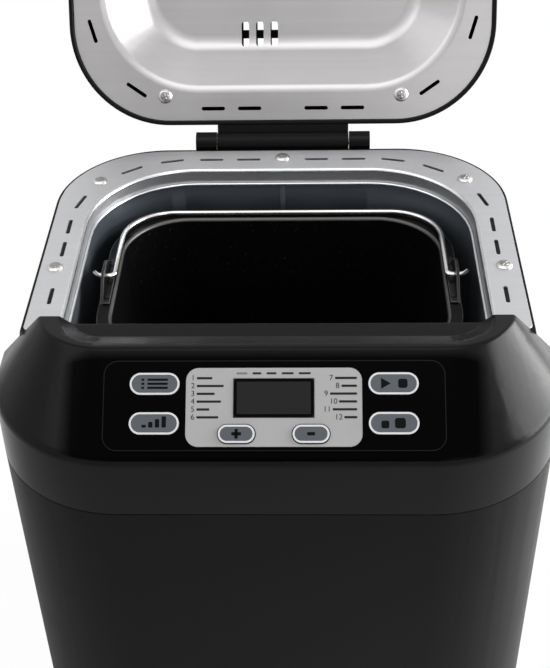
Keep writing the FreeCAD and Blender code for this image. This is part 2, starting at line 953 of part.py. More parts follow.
def slot_sketch(owner, name, offset, places):
    """Draw round-ended slots at given places and headings."""
    made = sketch(owner, name, "XY_Plane", offset)
    run = size("slot_length - slot_width") / 2
    half = size("slot_width") / 2
    for x, y, turn in places:
        along = FreeCAD.Vector(math.cos(turn), math.sin(turn), 0)
        across = FreeCAD.Vector(-along.y, along.x, 0)
        middle = FreeCAD.Vector(x, y, 0)
        ends = [middle + along * run, middle - along * run]
        made.addGeometry(
            [
                Part.LineSegment(ends[1] - across * half, ends[0] - across * half),
                Part.Arc(ends[0] - across * half, ends[0] + along * half, ends[0] + across * half),
                Part.LineSegment(ends[0] + across * half, ends[1] + across * half),
                Part.Arc(ends[1] + across * half, ends[1] - along * half, ends[1] - across * half),
            ]
        )
    return made


def deck_plate():
    """The pressed steel ring round the mouth, with its collar, slots and screw holes."""
    ring = body("deck_ring")
    collar = mouth_outline(ring, "collar_edge", f"{PLATE_UNDER} - collar_depth", "sheet_metal")
    pad(ring, collar, "collar_depth + sheet_metal")
    edge = deck_outline(ring, "ring_edge", PLATE_UNDER, "(deck_rim + fit_gap)", "console_back - 0.5",
                        "3")
    pad(ring, edge, "sheet_metal")
    mouth = mouth_outline(ring, "ring_mouth", f"{PLATE_UNDER} - collar_depth - 1", "0")
    pocket(ring, mouth, "collar_depth + 5")
    slots = slot_sketch(ring, "ring_slots", f"{PLATE_UNDER} - 1", slot_places())
    pocket(ring, slots, "5")
    holes = [
        rod(f"deck_hole_{n}", x, y, f"{PLATE_UNDER} - 1", "screw_shank + loose_gap", "4")
        for n, (x, y) in enumerate(deck_screw_places())
    ]
    sub_part(cut("deck_ring_drilled", ring, *holes), "deck_plate")


def screw(name, x, y, z, up, length="screw_length"):
    """A round-headed screw whose head rests on z; up says which way the head faces."""
    if up:
        head = rod(name + "_head", x, y, z, "screw_head", "screw_rise")
        shank = rod(name + "_shank", x, y, f"{z} - {length}", "screw_shank", f"{length} + 0.5")
    else:
        head = rod(name + "_head", x, y, f"{z} - screw_rise", "screw_head", "screw_rise")
        shank = rod(name + "_shank", x, y, f"{z} - 0.5", "screw_shank", f"{length} + 0.5")
    return fuse(name, head, shank)


def deck_screws():
    """The screws that hold the deck ring to the casing."""
    made = [
        screw(f"deck_screw_{n}", x, y, "deck_height", True) for n, (x, y) in enumerate(deck_screw_places())
    ]
    sub_part(group("deck_screw_set", made), "deck_screws")


# base and chassis


def base_and_feet():
    """The base plate with its vents, its screws, four rubber feet and four chassis posts."""
    plate = body("base")
    pad(plate, casing_outline(plate, "base_edge", "foot_height", "draft"), "base_plate")
    tools = []
    for n in range(6):
        tools.append(
            block(f"base_vent_{n}", f"base_vent_first + {n} * base_vent_pitch", "-base_vent_front",
                  "foot_height - 1", "base_vent_width", "base_vent_length", "6")
        )
    for n, (x, y) in enumerate(boss_places()):
        tools.append(rod(f"base_hole_{n}", x, y, "foot_height - 1", "screw_shank + loose_gap", "6"))
    sub_part(cut("base_drilled", plate, *tools), "base_plate")

    screws = [
        screw(f"base_screw_{n}", x, y, "foot_height", False, "base_screw_length")
        for n, (x, y) in enumerate(boss_places())
    ]
    sub_part(group("base_screw_set", screws), "base_screws")

    feet = []
    across = "(body_half - draft - foot_inset)"
    for n, (x, y) in enumerate(
        (x, y)
        for x in (f"-{across}", across)
        for y in ("foot_inset - front_reach", "rear_reach - foot_inset")
    ):
        foot = add("Part::Cone", f"foot_{n}")
        bind(foot, Radius1="foot_radius - 1", Radius2="foot_radius", Height="foot_height")
        feet.append(place(foot, x, y, "0"))
    sub_part(group("foot_set", feet), "rubber_feet")

    under = "(chassis_top - chassis_sheet)"
    posts = [
        rod(f"chassis_post_{n}", x, y, HOUSING_FOOT, "post_radius", f"{under} - {HOUSING_FOOT}")
        for n, (x, y) in enumerate(
            (x, y) for x in ("-post_x", "post_x") for y in ("-post_front", "post_rear")
        )
    ]
    sub_part(group("post_set", posts), "chassis_posts")


def board_feet():
    """Where the power board's four pillars stand."""
    left, front = "(pillar_inset - power_left)", "(pillar_inset - power_front)"
    right = f"({left} + power_length - 2 * pillar_inset)"
    rear = f"({front} + power_width - 2 * pillar_inset)"
    return [(x, y) for x in (left, right) for y in (front, rear)]


def chassis_plate():
    """The steel plate that carries oven, motor, bearing and power board."""
    plate = body("chassis")
    under = "(chassis_top - chassis_sheet)"
    edge = outline(plate, "chassis_edge", under, "chassis_half", "chassis_front", "chassis_rear",
                   "chassis_corner", "chassis_corner")
    pad(plate, edge, "chassis_sheet")
    pillars = [
        rod(f"board_pillar_{n}", x, y, "chassis_top - 0.5", "pillar_radius", "pillar_height + 0.5")
        for n, (x, y) in enumerate(board_feet())
    ]
    tools = [
        rod("bearing_seat", "0", "0", f"{under} - 1", "bearing_radius", "6"),
        rod("motor_opening", "motor_x", "motor_y", f"{under} - 1", "small_pulley + 2", "6"),
    ]
    sub_part(cut("chassis_drilled", fuse("chassis_joined", plate, *pillars), *tools), "chassis_plate")


def oven_outline(owner, name, offset, outset):
    """The oven's plan: the mouth's, outside the deck's collar."""
    return mouth_outline(owner, name, offset, f"({OVEN_GAP} + {outset})")


def oven_chamber():
    """The oven's pressed walls and floor, with holes for drive, heater and sensor."""
    tub = body("oven")
    pad(tub, oven_outline(tub, "oven_edge", "chassis_top", "sheet_metal"), f"{PLATE_UNDER} - chassis_top")
    pocket(tub, oven_outline(tub, "oven_room", OVEN_FLOOR, "0"), "deck_height")
    heater_z = "(chassis_top + sheet_metal + heater_rise)"
    tools = [rod("oven_drive_hole", "0", "0", "chassis_top - 1", "bearing_radius", "6")]
    for n, sign in enumerate("+-"):
        tools.append(
            rod(f"oven_heater_hole_{n}", f"{sign} heater_leg", "-(mouth_front + 10)", heater_z,
                "heater_radius + 3 + fit_gap", "14", "Y")
        )
    tools.append(
        rod("oven_sensor_hole", "sensor_x", "mouth_rear - 6", "sensor_z", "sensor_radius + fit_gap",
            "through_cut", "Y")
    )
    sub_part(cut("oven_drilled", tub, *tools), "oven_chamber")


def heater_path(owner):
    """The heater's centre line: in through the front wall, round the pan's foot and out again."""
    made = sketch(owner, "heater_line", "XY_Plane", "chassis_top + sheet_metal + heater_rise")
    leg, bend = size("heater_leg"), size("heater_bend")
    half, reach, corner = size("heater_half"), size("heater_reach"), size("heater_corner")
    outside = -size("mouth_front") - 16
    point = FreeCAD.Vector
    diagonal = math.sqrt(0.5)

    def turn(x, y, radius, start, middle, end):
        spots = [point(x + radius * i, y + radius * j, 0) for i, j in (start, middle, end)]
        return Part.Arc(*spots)

    right = [
        Part.LineSegment(point(leg, outside, 0), point(leg, -reach - bend, 0)),
        turn(leg + bend, -reach - bend, bend, (-1, 0), (-diagonal, diagonal), (0, 1)),
        Part.LineSegment(point(leg + bend, -reach, 0), point(half - corner, -reach, 0)),
        turn(half - corner, corner - reach, corner, (0, -1), (diagonal, -diagonal), (1, 0)),
        Part.LineSegment(point(half, corner - reach, 0), point(half, reach - corner, 0)),
        turn(half - corner, reach - corner, corner, (1, 0), (diagonal, diagonal), (0, 1)),
    ]
    back = Part.LineSegment(point(half - corner, reach, 0), point(corner - half, reach, 0))
    made.addGeometry(right + [back])
    left = [
        turn(corner - half, reach - corner, corner, (0, 1), (-diagonal, diagonal), (-1, 0)),
        Part.LineSegment(point(-half, reach - corner, 0), point(-half, corner - reach, 0)),
        turn(corner - half, corner - reach, corner, (-1, 0), (-diagonal, -diagonal), (0, -1)),
        Part.LineSegment(point(corner - half, -reach, 0), point(-leg - bend, -reach, 0)),
        turn(-leg - bend, -reach - bend, bend, (0, 1), (diagonal, diagonal), (1, 0)),
        Part.LineSegment(point(-leg, -reach - bend, 0), point(-leg, outside, 0)),
    ]
    made.addGeometry(left)
    return made


def round_profile(owner, name, plane, offset, x, y, radius):
    """A circle to sweep along a path."""
    made = sketch(owner, name, plane, offset)
    centre = FreeCAD.Vector(size(x), size(y), 0)
    made.addGeometry(Part.Circle(centre, FreeCAD.Vector(0, 0, 1), size(radius)))
    datum(made, "DistanceX", -1, 1, 0, 3, x)
    datum(made, "DistanceY", -1, 1, 0, 3, y)
    datum(made, "Radius", 0, radius)
    return made


def swept(owner, profile, path):
    """A rod that follows a path."""
    feature = owner.newObject("PartDesign::AdditivePipe", owner.Name + "_pipe")
    feature.Profile = profile
    feature.Spine = path
    feature.Transition = "Round corner"
    return feature


def heater():
    """The tubular heater, the collars in the oven's wall and the saddles that carry it."""
    element = body("heater_rod")
    height = "(chassis_top + sheet_metal + heater_rise)"
    profile = round_profile(element, "heater_round", "XZ_Plane", "mouth_front + 16", "heater_leg", height,
                            "heater_radius")
    swept(element, profile, heater_path(element))
    sub_part(element, "heating_element")

    collars = []
    for n, sign in enumerate("+-"):
        collars.append(
            tube(f"heater_collar_{n}", f"{sign} heater_leg", "-(mouth_front + 9)", height,
                 "heater_radius + 3", "heater_radius + fit_gap", "6", "Y")
        )
    sub_part(group("heater_collar_set", collars), "heater_collars")

    saddles = [
        block(f"heater_saddle_{n}", f"{x} - saddle_width / 2", f"{y} - saddle_length / 2", OVEN_FLOOR,
              "saddle_width", "saddle_length",
              "heater_rise - heater_radius - fit_gap / 2")
        for n, (x, y) in enumerate((("heater_half", "0"), ("-heater_half", "0"), ("saddle_x", "heater_reach"),
                                    ("-saddle_x", "heater_reach")))
    ]
    sub_part(group("heater_saddle_set", saddles), "heater_saddles")


def oven_sensors():
    """The temperature probe through the rear wall and the thermal fuse clamped outside it."""
    wall_y = f"(mouth_rear + {OVEN_GAP} + sheet_metal)"
    probe = rod("probe_rod", "sensor_x", f"{wall_y} - 9", "sensor_z", "sensor_radius", "9", "Y")
    flange = rod("probe_flange", "sensor_x", wall_y, "sensor_z", "sensor_flange", "3", "Y")
    sub_part(fuse("probe", probe, flange), "temperature_sensor")
    holder = block("fuse_holder", "fuse_x", wall_y, "fuse_z - fuse_holder_height / 2", "fuse_holder_length",
                   "fuse_holder_sheet", "fuse_holder_height")
    capsule = rod("fuse_capsule", "fuse_x + (fuse_holder_length - fuse_length) / 2",
                  f"{wall_y} + fuse_radius + 0.7", "fuse_z", "fuse_radius", "fuse_length", "X")
    sub_part(fuse("fuse_joined", holder, capsule), "thermal_fuse")


def pan_socket():
    """The ring on the oven's floor that the pan's foot drops into."""
    outer = rod("socket_outer", "0", "0", OVEN_FLOOR, "pan_foot_radius + socket_slack + socket_wall",
                "socket_height")
    room = rod("socket_room", "0", "0", SOCKET_FLOOR, "pan_foot_radius + socket_slack", "socket_height")
    hole = rod("socket_hole", "0", "0", f"{OVEN_FLOOR} - 1", "dog_radius + 1.5", "socket_height")
    sub_part(cut("socket", outer, room, hole), "pan_socket")


# drive


def bearing():
    """The bearing's housing under the chassis and its two bushes."""
    inner = "(drive_radius + bush_wall)"
    low = f"{PULLEY_TOP} + 2"
    neck = tube("bearing_neck", "0", "0", low, "bearing_radius - fit_gap", inner, f"{OVEN_FLOOR} - ({low})")
    flange = tube("bearing_flange", "0", "0", "chassis_top - chassis_sheet - 3", "2 * bearing_radius", inner,
                  "3")
    sub_part(fuse("bearing_joined", neck, flange), "bearing_housing")
    bushes = [
        tube(f"bush_{n}", "0", "0", z, inner, "drive_radius + pin_fit", "7")
        for n, z in enumerate((low, f"{OVEN_FLOOR} - 7"))
    ]
    sub_part(group("bush_set", bushes), "drive_bushes")


def drive_parts():
    """The driven shaft with its large pulley below and its coupling dog above."""
    sub_part(rod("driven_shaft", "0", "0", "pulley_bottom - 2", "drive_radius",
                 f"{SOCKET_FLOOR} + 3 - (pulley_bottom - 2)"), "drive_shaft")
    rim = tube("pulley_rim", "0", "0", "pulley_bottom", "large_pulley", "large_pulley - 4", "pulley_width")
    web = tube("pulley_web", "0", "0", "pulley_bottom + 3", "large_pulley - 3", "drive_radius", "4")
    hub = tube("pulley_hub", "0", "0", "pulley_bottom - 1", "2.4 * drive_radius", "drive_radius",
               "pulley_width + 2.8")
    windows = []
    for n in range(6):
        angle = f"{60 * n}"
        windows.append(
            rod(f"pulley_window_{n}", f"0.58 * large_pulley * cos({angle})",
                f"0.58 * large_pulley * sin({angle})", "pulley_bottom", "0.19 * large_pulley", "pulley_width")
        )
    sub_part(cut("pulley_cut", fuse("pulley_joined", rim, web, hub), *windows), "large_pulley")

    floor = f"{SOCKET_FLOOR} + dog_rise"
    disc = rod("dog_plate", "0", "0", floor, "dog_radius", "dog_sheet")
    lugs = [
        block(f"dog_lug_{n}", x, "-lug_length / 2", f"{floor} + dog_sheet / 2", "lug_sheet", "lug_length",
              "lug_height - dog_sheet / 2")
        for n, x in enumerate(("lug_start", "-lug_start - lug_sheet"))
    ]
    seat = rod("dog_seat", "0", "0", f"{floor} - 1", "drive_radius", "dog_socket + 1")
    sub_part(cut("dog", fuse("dog_joined", disc, *lugs), seat), "drive_dog")


def motor_parts():
    """The motor on the chassis, its shaft and small pulley, the belt and the run capacitor."""
    half = "(motor_side / 2)"
    bell = "motor_bell"
    core = block("motor_core", f"motor_x - {half}", f"motor_y - {half}", f"chassis_top + {bell}",
                 "motor_side", "motor_side", f"motor_height - 2 * {bell}")
    bells = [rod(f"motor_bell_{n}", "motor_x", "motor_y", z, f"{half} - 3", bell)
             for n, z in enumerate(("chassis_top", f"chassis_top + motor_height - {bell}"))]
    bore = rod("motor_bore", "motor_x", "motor_y", "chassis_top - 1", "motor_shaft + pin_fit",
               "motor_height - 2")
    sub_part(cut("motor", fuse("motor_joined", core, *bells), bore), "motor")
    sub_part(rod("rotor_shaft", "motor_x", "motor_y", "pulley_bottom - 2", "motor_shaft",
                 "chassis_top + motor_height - 8 - pulley_bottom"), "motor_shaft")
    groove = tube("small_rim", "motor_x", "motor_y", "pulley_bottom", "small_pulley", "motor_shaft",
                  "pulley_width")
    flanges = [
        tube(f"small_cheek_{n}", "motor_x", "motor_y", z, "small_pulley + small_flange", "motor_shaft", "1")
        for n, z in enumerate(("pulley_bottom - 1", PULLEY_TOP))
    ]
    sub_part(fuse("small_joined", groove, *flanges), "small_pulley")
    drive_belt()
    sub_part(rod("run_capacitor", "capacitor_x", "capacitor_y", "chassis_top", "capacitor_radius",
                 "capacitor_height"), "motor_capacitor")


def belt_face(slack):
    """The area inside a belt that runs round both pulleys, slack outside their rims."""
    z = size("pulley_bottom + 1")
    big, small = size(f"large_pulley + {slack}"), size(f"small_pulley + {slack}")
    x, y = size("motor_x"), size("motor_y")
    apart = math.hypot(x, y)
    heading = math.atan2(y, x)
    lean = math.acos((big - small) / apart)

    def spot(cx, cy, radius, turn):
        return FreeCAD.Vector(cx + radius * math.cos(turn), cy + radius * math.sin(turn), z)

    one, two = heading + lean, heading - lean
    edges = [
        Part.LineSegment(spot(0, 0, big, one), spot(x, y, small, one)).toShape(),
        Part.Arc(spot(x, y, small, one), spot(x, y, small, heading), spot(x, y, small, two)).toShape(),
        Part.LineSegment(spot(x, y, small, two), spot(0, 0, big, two)).toShape(),
        Part.Arc(spot(0, 0, big, two), spot(0, 0, big, heading + math.pi), spot(0, 0, big, one)).toShape(),
    ]
    return Part.Face(Part.Wire(edges))


def drive_belt():
    """The flat belt, a constant thickness round the two pulleys."""
    gap = "loose_gap"
    band = belt_face(f"{gap} + belt_sheet").cut(belt_face(gap))
    belt = add("Part::Feature", "belt")
    belt.Shape = band.extrude(FreeCAD.Vector(0, 0, size("pulley_width - 2"))).Solids[0]
    sub_part(belt, "drive_belt")


# electronics


def boards():
    """The power board on the chassis and the control board behind the panel."""
    top = "(chassis_top + pillar_height)"
    sheet_piece = block("power_sheet", "-power_left", "-power_front", top, "power_length", "power_width",
                        "board_sheet")
    sub_part(sheet_piece, "power_board")
    on_board = f"({top} + board_sheet)"
    pieces = [
        block("transformer", "6 - power_left", "7 - power_front", on_board, "transformer_length",
              "transformer_width", "transformer_height"),
        block("relay", "44 - power_left", "7 - power_front", on_board, "relay_length", "relay_width",
              "relay_width"),
        rod("smoothing_can", "60 - power_left", "29 - power_front", on_board, "can_radius", "can_height"),
    ]
    sub_part(group("power_pieces", pieces), "power_board_parts")

    low = "-(board_depth + board_sheet)"
    panel_board = block("control_sheet", "-control_half", "-control_bottom", low, "2 * control_half",
                        "control_bottom - control_top", "board_sheet")
    holes = [
        rod(f"control_hole_{n}", x, y, f"{low} - 1", "board_pilot + 0.25", "4")
        for n, (x, y) in enumerate(board_post_places())
    ]
    sub_part(cut("control_drilled", panel_board, *holes), "control_board", panel=True)

    screws = []
    for n, (x, y) in enumerate(board_post_places()):
        head = rod(f"board_screw_head_{n}", x, y, f"{low} - 1.4", "2.6", "1.4")
        shank = rod(f"board_screw_shank_{n}", x, y, f"{low} - 0.4", "1.2", "7")
        screws.append(fuse(f"board_screw_{n}", head, shank))
    sub_part(group("board_screw_set", screws), "board_screws", panel=True)

    switches = []
    for name, (_, _, x, y) in key_places().items():
        side = block(f"switch_{name}", f"{x} - switch_side / 2", f"{y} - switch_side / 2", "-board_depth",
                     "switch_side", "switch_side", "switch_height")
        bore = rod(f"switch_bore_{name}", x, y, "-board_depth", "key_stem + pin_fit", "switch_height")
        switches.append(cut(f"switch_cut_{name}", side, bore))
    sub_part(group("switch_set", switches), "key_switches", panel=True)

    module = block("display_cell", "-(display_half + 2)", "-(display_bottom + 1)", "-board_depth",
                   "2 * (display_half + 2)", "display_bottom - display_top + 2", "board_depth - 3.2")
    sub_part(module, "display_module", panel=True)


def panel_outline(owner, name, offset, half, top, bottom, corner):
    """A rounded rectangle on the slope, between two distances down from the ridge."""
    made = sketch(owner, name, "XY_Plane", offset)
    w, y0, y1, r = size(half), -size(bottom), -size(top), size(corner)
    point = FreeCAD.Vector

    def arc(x, y, start):
        circle = Part.Circle(point(x, y, 0), point(0, 0, 1), r)
        return Part.ArcOfCircle(circle, math.radians(start), math.radians(start + 90))

    made.addGeometry(
        [
            Part.LineSegment(point(r - w, y0, 0), point(w - r, y0, 0)),
            arc(w - r, y0 + r, -90),
            Part.LineSegment(point(w, y0 + r, 0), point(w, y1 - r, 0)),
            arc(w - r, y1 - r, 0),
            Part.LineSegment(point(w - r, y1, 0), point(r - w, y1, 0)),
            arc(r - w, y1 - r, 90),
            Part.LineSegment(point(-w, y1 - r, 0), point(-w, y0 + r, 0)),
            arc(r - w, y0 + r, 180),
        ]
    )
    for edge in range(8):
        made.addConstraint(Sketcher.Constraint("Tangent", edge, 2, (edge + 1) % 8, 1))
    made.addConstraint(Sketcher.Constraint("Symmetric", 0, 1, 0, 2, -2))
    made.addConstraint(Sketcher.Constraint("Symmetric", 4, 1, 4, 2, -2))
    made.addConstraint(Sketcher.Constraint("Vertical", 2))
    made.addConstraint(Sketcher.Constraint("Vertical", 6))
    made.addConstraint(Sketcher.Constraint("Equal", 1, 7))
    datum(made, "Radius", 1, corner)
    datum(made, "Radius", 3, corner)
    datum(made, "DistanceX", -1, 1, 2, 1, half)
    datum(made, "DistanceY", 0, 1, -1, 1, bottom)
    datum(made, "DistanceY", 4, 1, -1, 1, top)
    return made


def control_panel():
    """The overlay, the label inside it, the display's lens and the six buttons."""
    overlay = body("overlay")
    pad(overlay, panel_outline(overlay, "overlay_edge", "0", "overlay_half", "overlay_top", "overlay_bottom",
                               "overlay_corner"), "overlay_sheet")
    window = panel_outline(overlay, "overlay_window", "-1", "label_half + fit_gap", "label_top - fit_gap",
                           "label_bottom + fit_gap", "label_corner")
    pocket(overlay, window, "3")
    big_holes = key_hole_tools("overlay_hole", "-1", "2", "loose_gap")[:4]
    sub_part(cut("overlay_cut", overlay, *big_holes), "control_overlay", panel=True)

    label = body("label")
    pad(label,
        panel_outline(label, "label_edge", "0", "label_half", "label_top", "label_bottom", "label_corner"),
        "overlay_sheet")
    small_holes = key_hole_tools("label_hole", "-1", "2", "loose_gap")[4:]
    lens_hole = display_tool("label_window", "-1", "2", "fit_gap")
    sub_part(cut("label_cut", label, lens_hole, *small_holes), "label_panel", panel=True)

    sub_part(display_tool("lens", "0", "lens_sheet", "0"), "display_lens", panel=True)

    for name, (length, width, x, y) in key_places().items():
        cap = pill(f"{name}_cap", length, width, "-key_skirt", "key_proud", x, y)
        stem = rod(f"{name}_stem", x, y, "-(board_depth - switch_height / 2)", "key_stem",
                   "board_depth - switch_height / 2 - key_skirt + 0.5")
        sub_part(fuse(f"{name}_joined", cap, stem), name, panel=True)


# lid


def lid_outline(owner, name, offset, inset):
    """The lid's plan, drawn in by an inset."""
    return outline(
        owner,
        name,
        offset,
        f"deck_half - {inset}",
        f"lid_front - {inset}",
        f"lid_rear - {inset}",
        f"lid_front_corner - {inset}",
        f"deck_corner - {inset}",
    )


def lid_dome(name, inset, foot, top, radius):
    """A domed block: the lid's outside, or the room inside it."""
    dome = body(name)
    lean = "atan(lid_crown_inset / (lid_height - lid_band))"
    shoulder = f"({LID_FOOT} + lid_band)"
    pad(dome, lid_outline(dome, name + "_foot", foot, inset), f"{shoulder} - ({foot})")
    tapered(dome, lid_outline(dome, name + "_shoulder", shoulder, inset), f"{top} - {shoulder}", lean)
    rounded(dome, radius, level(top))
    return dome


def lid_screw_places():
    """Two screws by the hinge and two in front."""
    return [(x, y) for x in ("-lid_screw_x", "lid_screw_x") for y in ("lid_screw_rear", "-lid_screw_front")]


def lid_shell():
    """The lid's outer moulding with its vents, screw bosses and hinge tongue."""
    outer = lid_dome("lid_outer", "0", LID_FOOT, LID_TOP, "lid_round")
    room = lid_dome("lid_room", "lid_wall", f"{LID_FOOT} - 1", f"{LID_TOP} - lid_wall",
                    "lid_round - lid_wall / 2")
    hollow = cut("lid_hollow", outer, room)
    liner_top = f"({LINER} + sheet_metal)"
    limit = lid_dome("lid_limit", "1", LID_FOOT, f"{LID_TOP} - 1", "lid_round - 0.5")
    bosses = [
        common(f"lid_boss_{n}", rod(f"lid_boss_rod_{n}", x, y, liner_top, "4", "lid_height"), limit)
        for n, (x, y) in enumerate(lid_screw_places())
    ]
    tongue = block("hinge_tongue", "-hinge_half", "lid_rear - 1.5", f"{LID_FOOT} + 0.2", "2 * hinge_half",
                   "hinge_y - lid_rear + 1.5", "knuckle_radius - lid_gap - 0.2")
    knuckle = rod("hinge_knuckle", "-hinge_half", "hinge_y", "deck_height", "knuckle_radius",
                  "2 * hinge_half", "X")
    vents = []
    for column in range(3):
        for row in (-1, 1):
            vents.append(
                block(f"lid_vent_{column}_{row + 1}", f"vent_first + {column} * vent_pitch - vent_width / 2",
                      f"vent_y + {row} * vent_length / 3 - vent_length / 6", f"{LID_TOP} - through_cut / 2",
                      "vent_width", "vent_length / 3", "through_cut")
            )
    pilots = [rod(f"lid_pilot_{n}", x, y, f"{liner_top} - 1", "screw_shank + fit_gap", "12")
              for n, (x, y) in enumerate(lid_screw_places())]
    joined = fuse("lid_joined", hollow, tongue, knuckle, *bosses)
    bore = pin_hole("knuckle_bore", "pin_radius + pin_fit")
    sub_part(cut("lid_case", joined, bore, *pilots, *vents), "lid_shell", swing=LID_SWING)


def dish_outline(owner, name, offset, grow):
    """The plan of the dish pressed into the lid's liner, moved out by grow."""
    return outline(
        owner,
        name,
        offset,
        f"mouth_half + {grow}",
        f"lid_front - liner_front_land + {grow}",
        f"mouth_rear + {grow}",
        f"mouth_corner + {grow}",
        f"mouth_corner + {grow}",
    )


def dish_block(name, grow, foot, top, radius):
    """A dish-shaped block with a rounded floor edge."""
    dish = body(name)
    lean = "atan(dish_run / dish_depth)"
    tapered(dish, dish_outline(dish, name + "_foot", foot, grow), f"{top} - ({foot})", lean)
    rounded(dish, radius, level(top))
    return dish


def lid_liner():
    """The steel inside of the lid: a flange with slots round a pressed dish with vents."""
    flange = body("liner_flange")
    edge = lid_outline(flange, "liner_edge", LINER, "(lid_wall + loose_gap)")
    pad(flange, edge, "sheet_metal")
    outer = dish_block("dish_outer", "sheet_metal", LINER, f"{LINER} + dish_depth + sheet_metal",
                       "dish_round + sheet_metal")
    room = dish_block("dish_room", "0", LINER, f"{LINER} + dish_depth", "dish_round")
    sheet_solid = cut("liner_pressed", fuse("liner_joined", flange, outer), room)
    slots = body("liner_slots")
    pad(slots, slot_sketch(slots, "liner_slot_edges", f"{LINER} - 1", slot_places("abdefgi")), "3")
    vents = [
        pill_along_y(f"liner_vent_{n}", f"vent_first + {n} * vent_pitch", "vent_y")
        for n in range(3)
    ]
    holes = [rod(f"liner_hole_{n}", x, y, f"{LINER} - 1", "screw_shank + loose_gap", "4")
             for n, (x, y) in enumerate(lid_screw_places())]
    sub_part(cut("liner_cut", sheet_solid, slots, *vents, *holes), "lid_liner", swing=LID_SWING)


def pill_along_y(name, x, y):
    """A round-ended cutter for a vent that runs front to back."""
    run = "(vent_length - vent_width)"
    bar = block(name + "_bar", f"{x} - vent_width / 2", f"{y} - {run} / 2", f"{LINER} + 4", "vent_width", run,
                "through_cut")
    ends = [
        rod(f"{name}_end_{n}", x, f"{y} {sign} {run} / 2", f"{LINER} + 4", "vent_width / 2", "through_cut")
        for n, sign in enumerate("+-")
    ]
    return fuse(name, bar, *ends)


def lid_screws():
    """The screws that hold the liner to the lid's bosses."""
    made = [
        screw(f"lid_screw_{n}", x, y, LINER, False, "screw_length - 1")
        for n, (x, y) in enumerate(lid_screw_places())
    ]
    sub_part(group("lid_screw_set", made), "lid_screws", swing=LID_SWING)


def hinge_pins():
    """One pin on each side, through the ear and into the tongue."""
    pins = []
    length = "(ear_width + ear_gap + 10)"
    for n, x in enumerate(("-(hinge_half + ear_gap + ear_width)", "hinge_half - 10")):
        pins.append(rod(f"hinge_pin_{n}", x, "hinge_y", "deck_height", "pin_radius", length, "X"))
    sub_part(group("hinge_pin_set", pins), "hinge_pins")


# bread pan


def pan_outline(owner, name, offset, grow_side, grow_end):
    """The pan's plan, grown by different amounts at the sides and at the ends."""
    return outline(
        owner,
        name,
        offset,
        f"pan_half + {grow_side}",
        f"pan_reach + {grow_end}",
        f"pan_reach + {grow_end}",
        f"pan_corner + {grow_end}",
        f"pan_corner + {grow_end}",
    )


def bread_pan():
    """The tapering pan with its rim and the hole for the shaft's bush."""
    vessel = body("pan")
    under = PAN_UNDER
    lean = f"(-1 * atan(pan_taper / {PAN_DEPTH}))"
    foot = pan_outline(vessel, "pan_foot_edge", under, "(pan_wall - pan_taper)", "(pan_wall - pan_taper)")
    tapered(vessel, foot, f"{PAN_RIM} - {under}", lean)
    rim = pan_outline(vessel, "pan_rim_edge", f"{PAN_RIM} - pan_wall", "(pan_wall + rim_side)",
                      "(pan_wall + rim_end)")
    pad(vessel, rim, "pan_wall")
    rounded(vessel, "pan_floor_round", level(under))
    room = body("pan_room")
    foot_in = pan_outline(room, "pan_room_foot", PAN_FLOOR, "(0 - pan_taper)", "(0 - pan_taper)")
    tapered(room, foot_in, f"{PAN_DEPTH} + 1", lean)
    rounded(room, "pan_floor_round - 1", level(PAN_FLOOR))
    hole = rod("pan_bush_hole", "0", "0", f"{under} - 5", "bush_radius", "through_cut")
    sub_part(cut("pan_cut", vessel, room, hole), "bread_pan")


def pan_tabs():
    """The two tabs on the rim that the bail turns in, and their rivets."""
    tabs = []
    rivets = []
    stand = "(pan_half + pan_wall + rim_side - tab_sheet - 0.6)"
    for n, sign in enumerate(("", "-")):
        tab = body(f"tab_{n}")
        start = stand if sign == "" else f"0 - {stand} - tab_sheet"
        corners = [
            ("-tab_half", PAN_RIM),
            ("tab_half", PAN_RIM),
            ("tab_top_half", f"{PAN_RIM} + tab_rise"),
            ("-tab_top_half", f"{PAN_RIM} + tab_rise"),
        ]
        pad(tab, polygon(tab, f"tab_edge_{n}", corners, "YZ_Plane", start), "tab_sheet")
        inner = "(pan_half + pan_wall + 0.3)"
        low = f"0 - {stand} - 0.2" if sign else inner
        foot = block(f"tab_foot_{n}", low, "-tab_half", PAN_RIM, f"{stand} - {inner} + 0.2", "2 * tab_half",
                     "tab_foot")
        bore = rod(f"tab_bore_{n}", "-5" if sign == "" else f"-{stand} - 10", "0", PIVOT,
                   "wire_radius + pin_fit", f"{stand} + 20" if sign == "" else "20", "X")
        tabs.append(cut(f"tab_cut_{n}", fuse(f"tab_joined_{n}", tab, foot), bore))
        middle = f"({stand} + {inner}) / 2"
        for m, y in enumerate(("-rivet_y", "rivet_y")):
            rivets.append(
                rod(f"tab_rivet_{n}_{m}", f"{sign}{middle}", y, f"{PAN_RIM} + tab_foot", "rivet_radius",
                    "rivet_rise")
            )
    sub_part(group("tab_set", tabs), "pan_tabs")
    sub_part(group("rivet_set", rivets), "tab_rivets")


def pan_underside():
    """The ring the pan stands on and the bush its shaft turns in."""
    under = PAN_UNDER
    sub_part(tube("pan_ring", "0", "0", SOCKET_FLOOR, "pan_foot_radius", "pan_foot_radius - pan_foot_wall",
                  f"{under} - {SOCKET_FLOOR}"), "pan_foot")
    neck = tube("bush_neck", "0", "0", f"{under} - bush_hang", "bush_radius - fit_gap", "pan_shaft + pin_fit",
                "bush_hang + pan_wall + 5.5")
    flange = tube("bush_collar", "0", "0", PAN_FLOOR, "bush_flange", "pan_shaft + pin_fit",
                  "bush_flange_sheet")
    sub_part(fuse("bush_joined", neck, flange), "pan_bush")


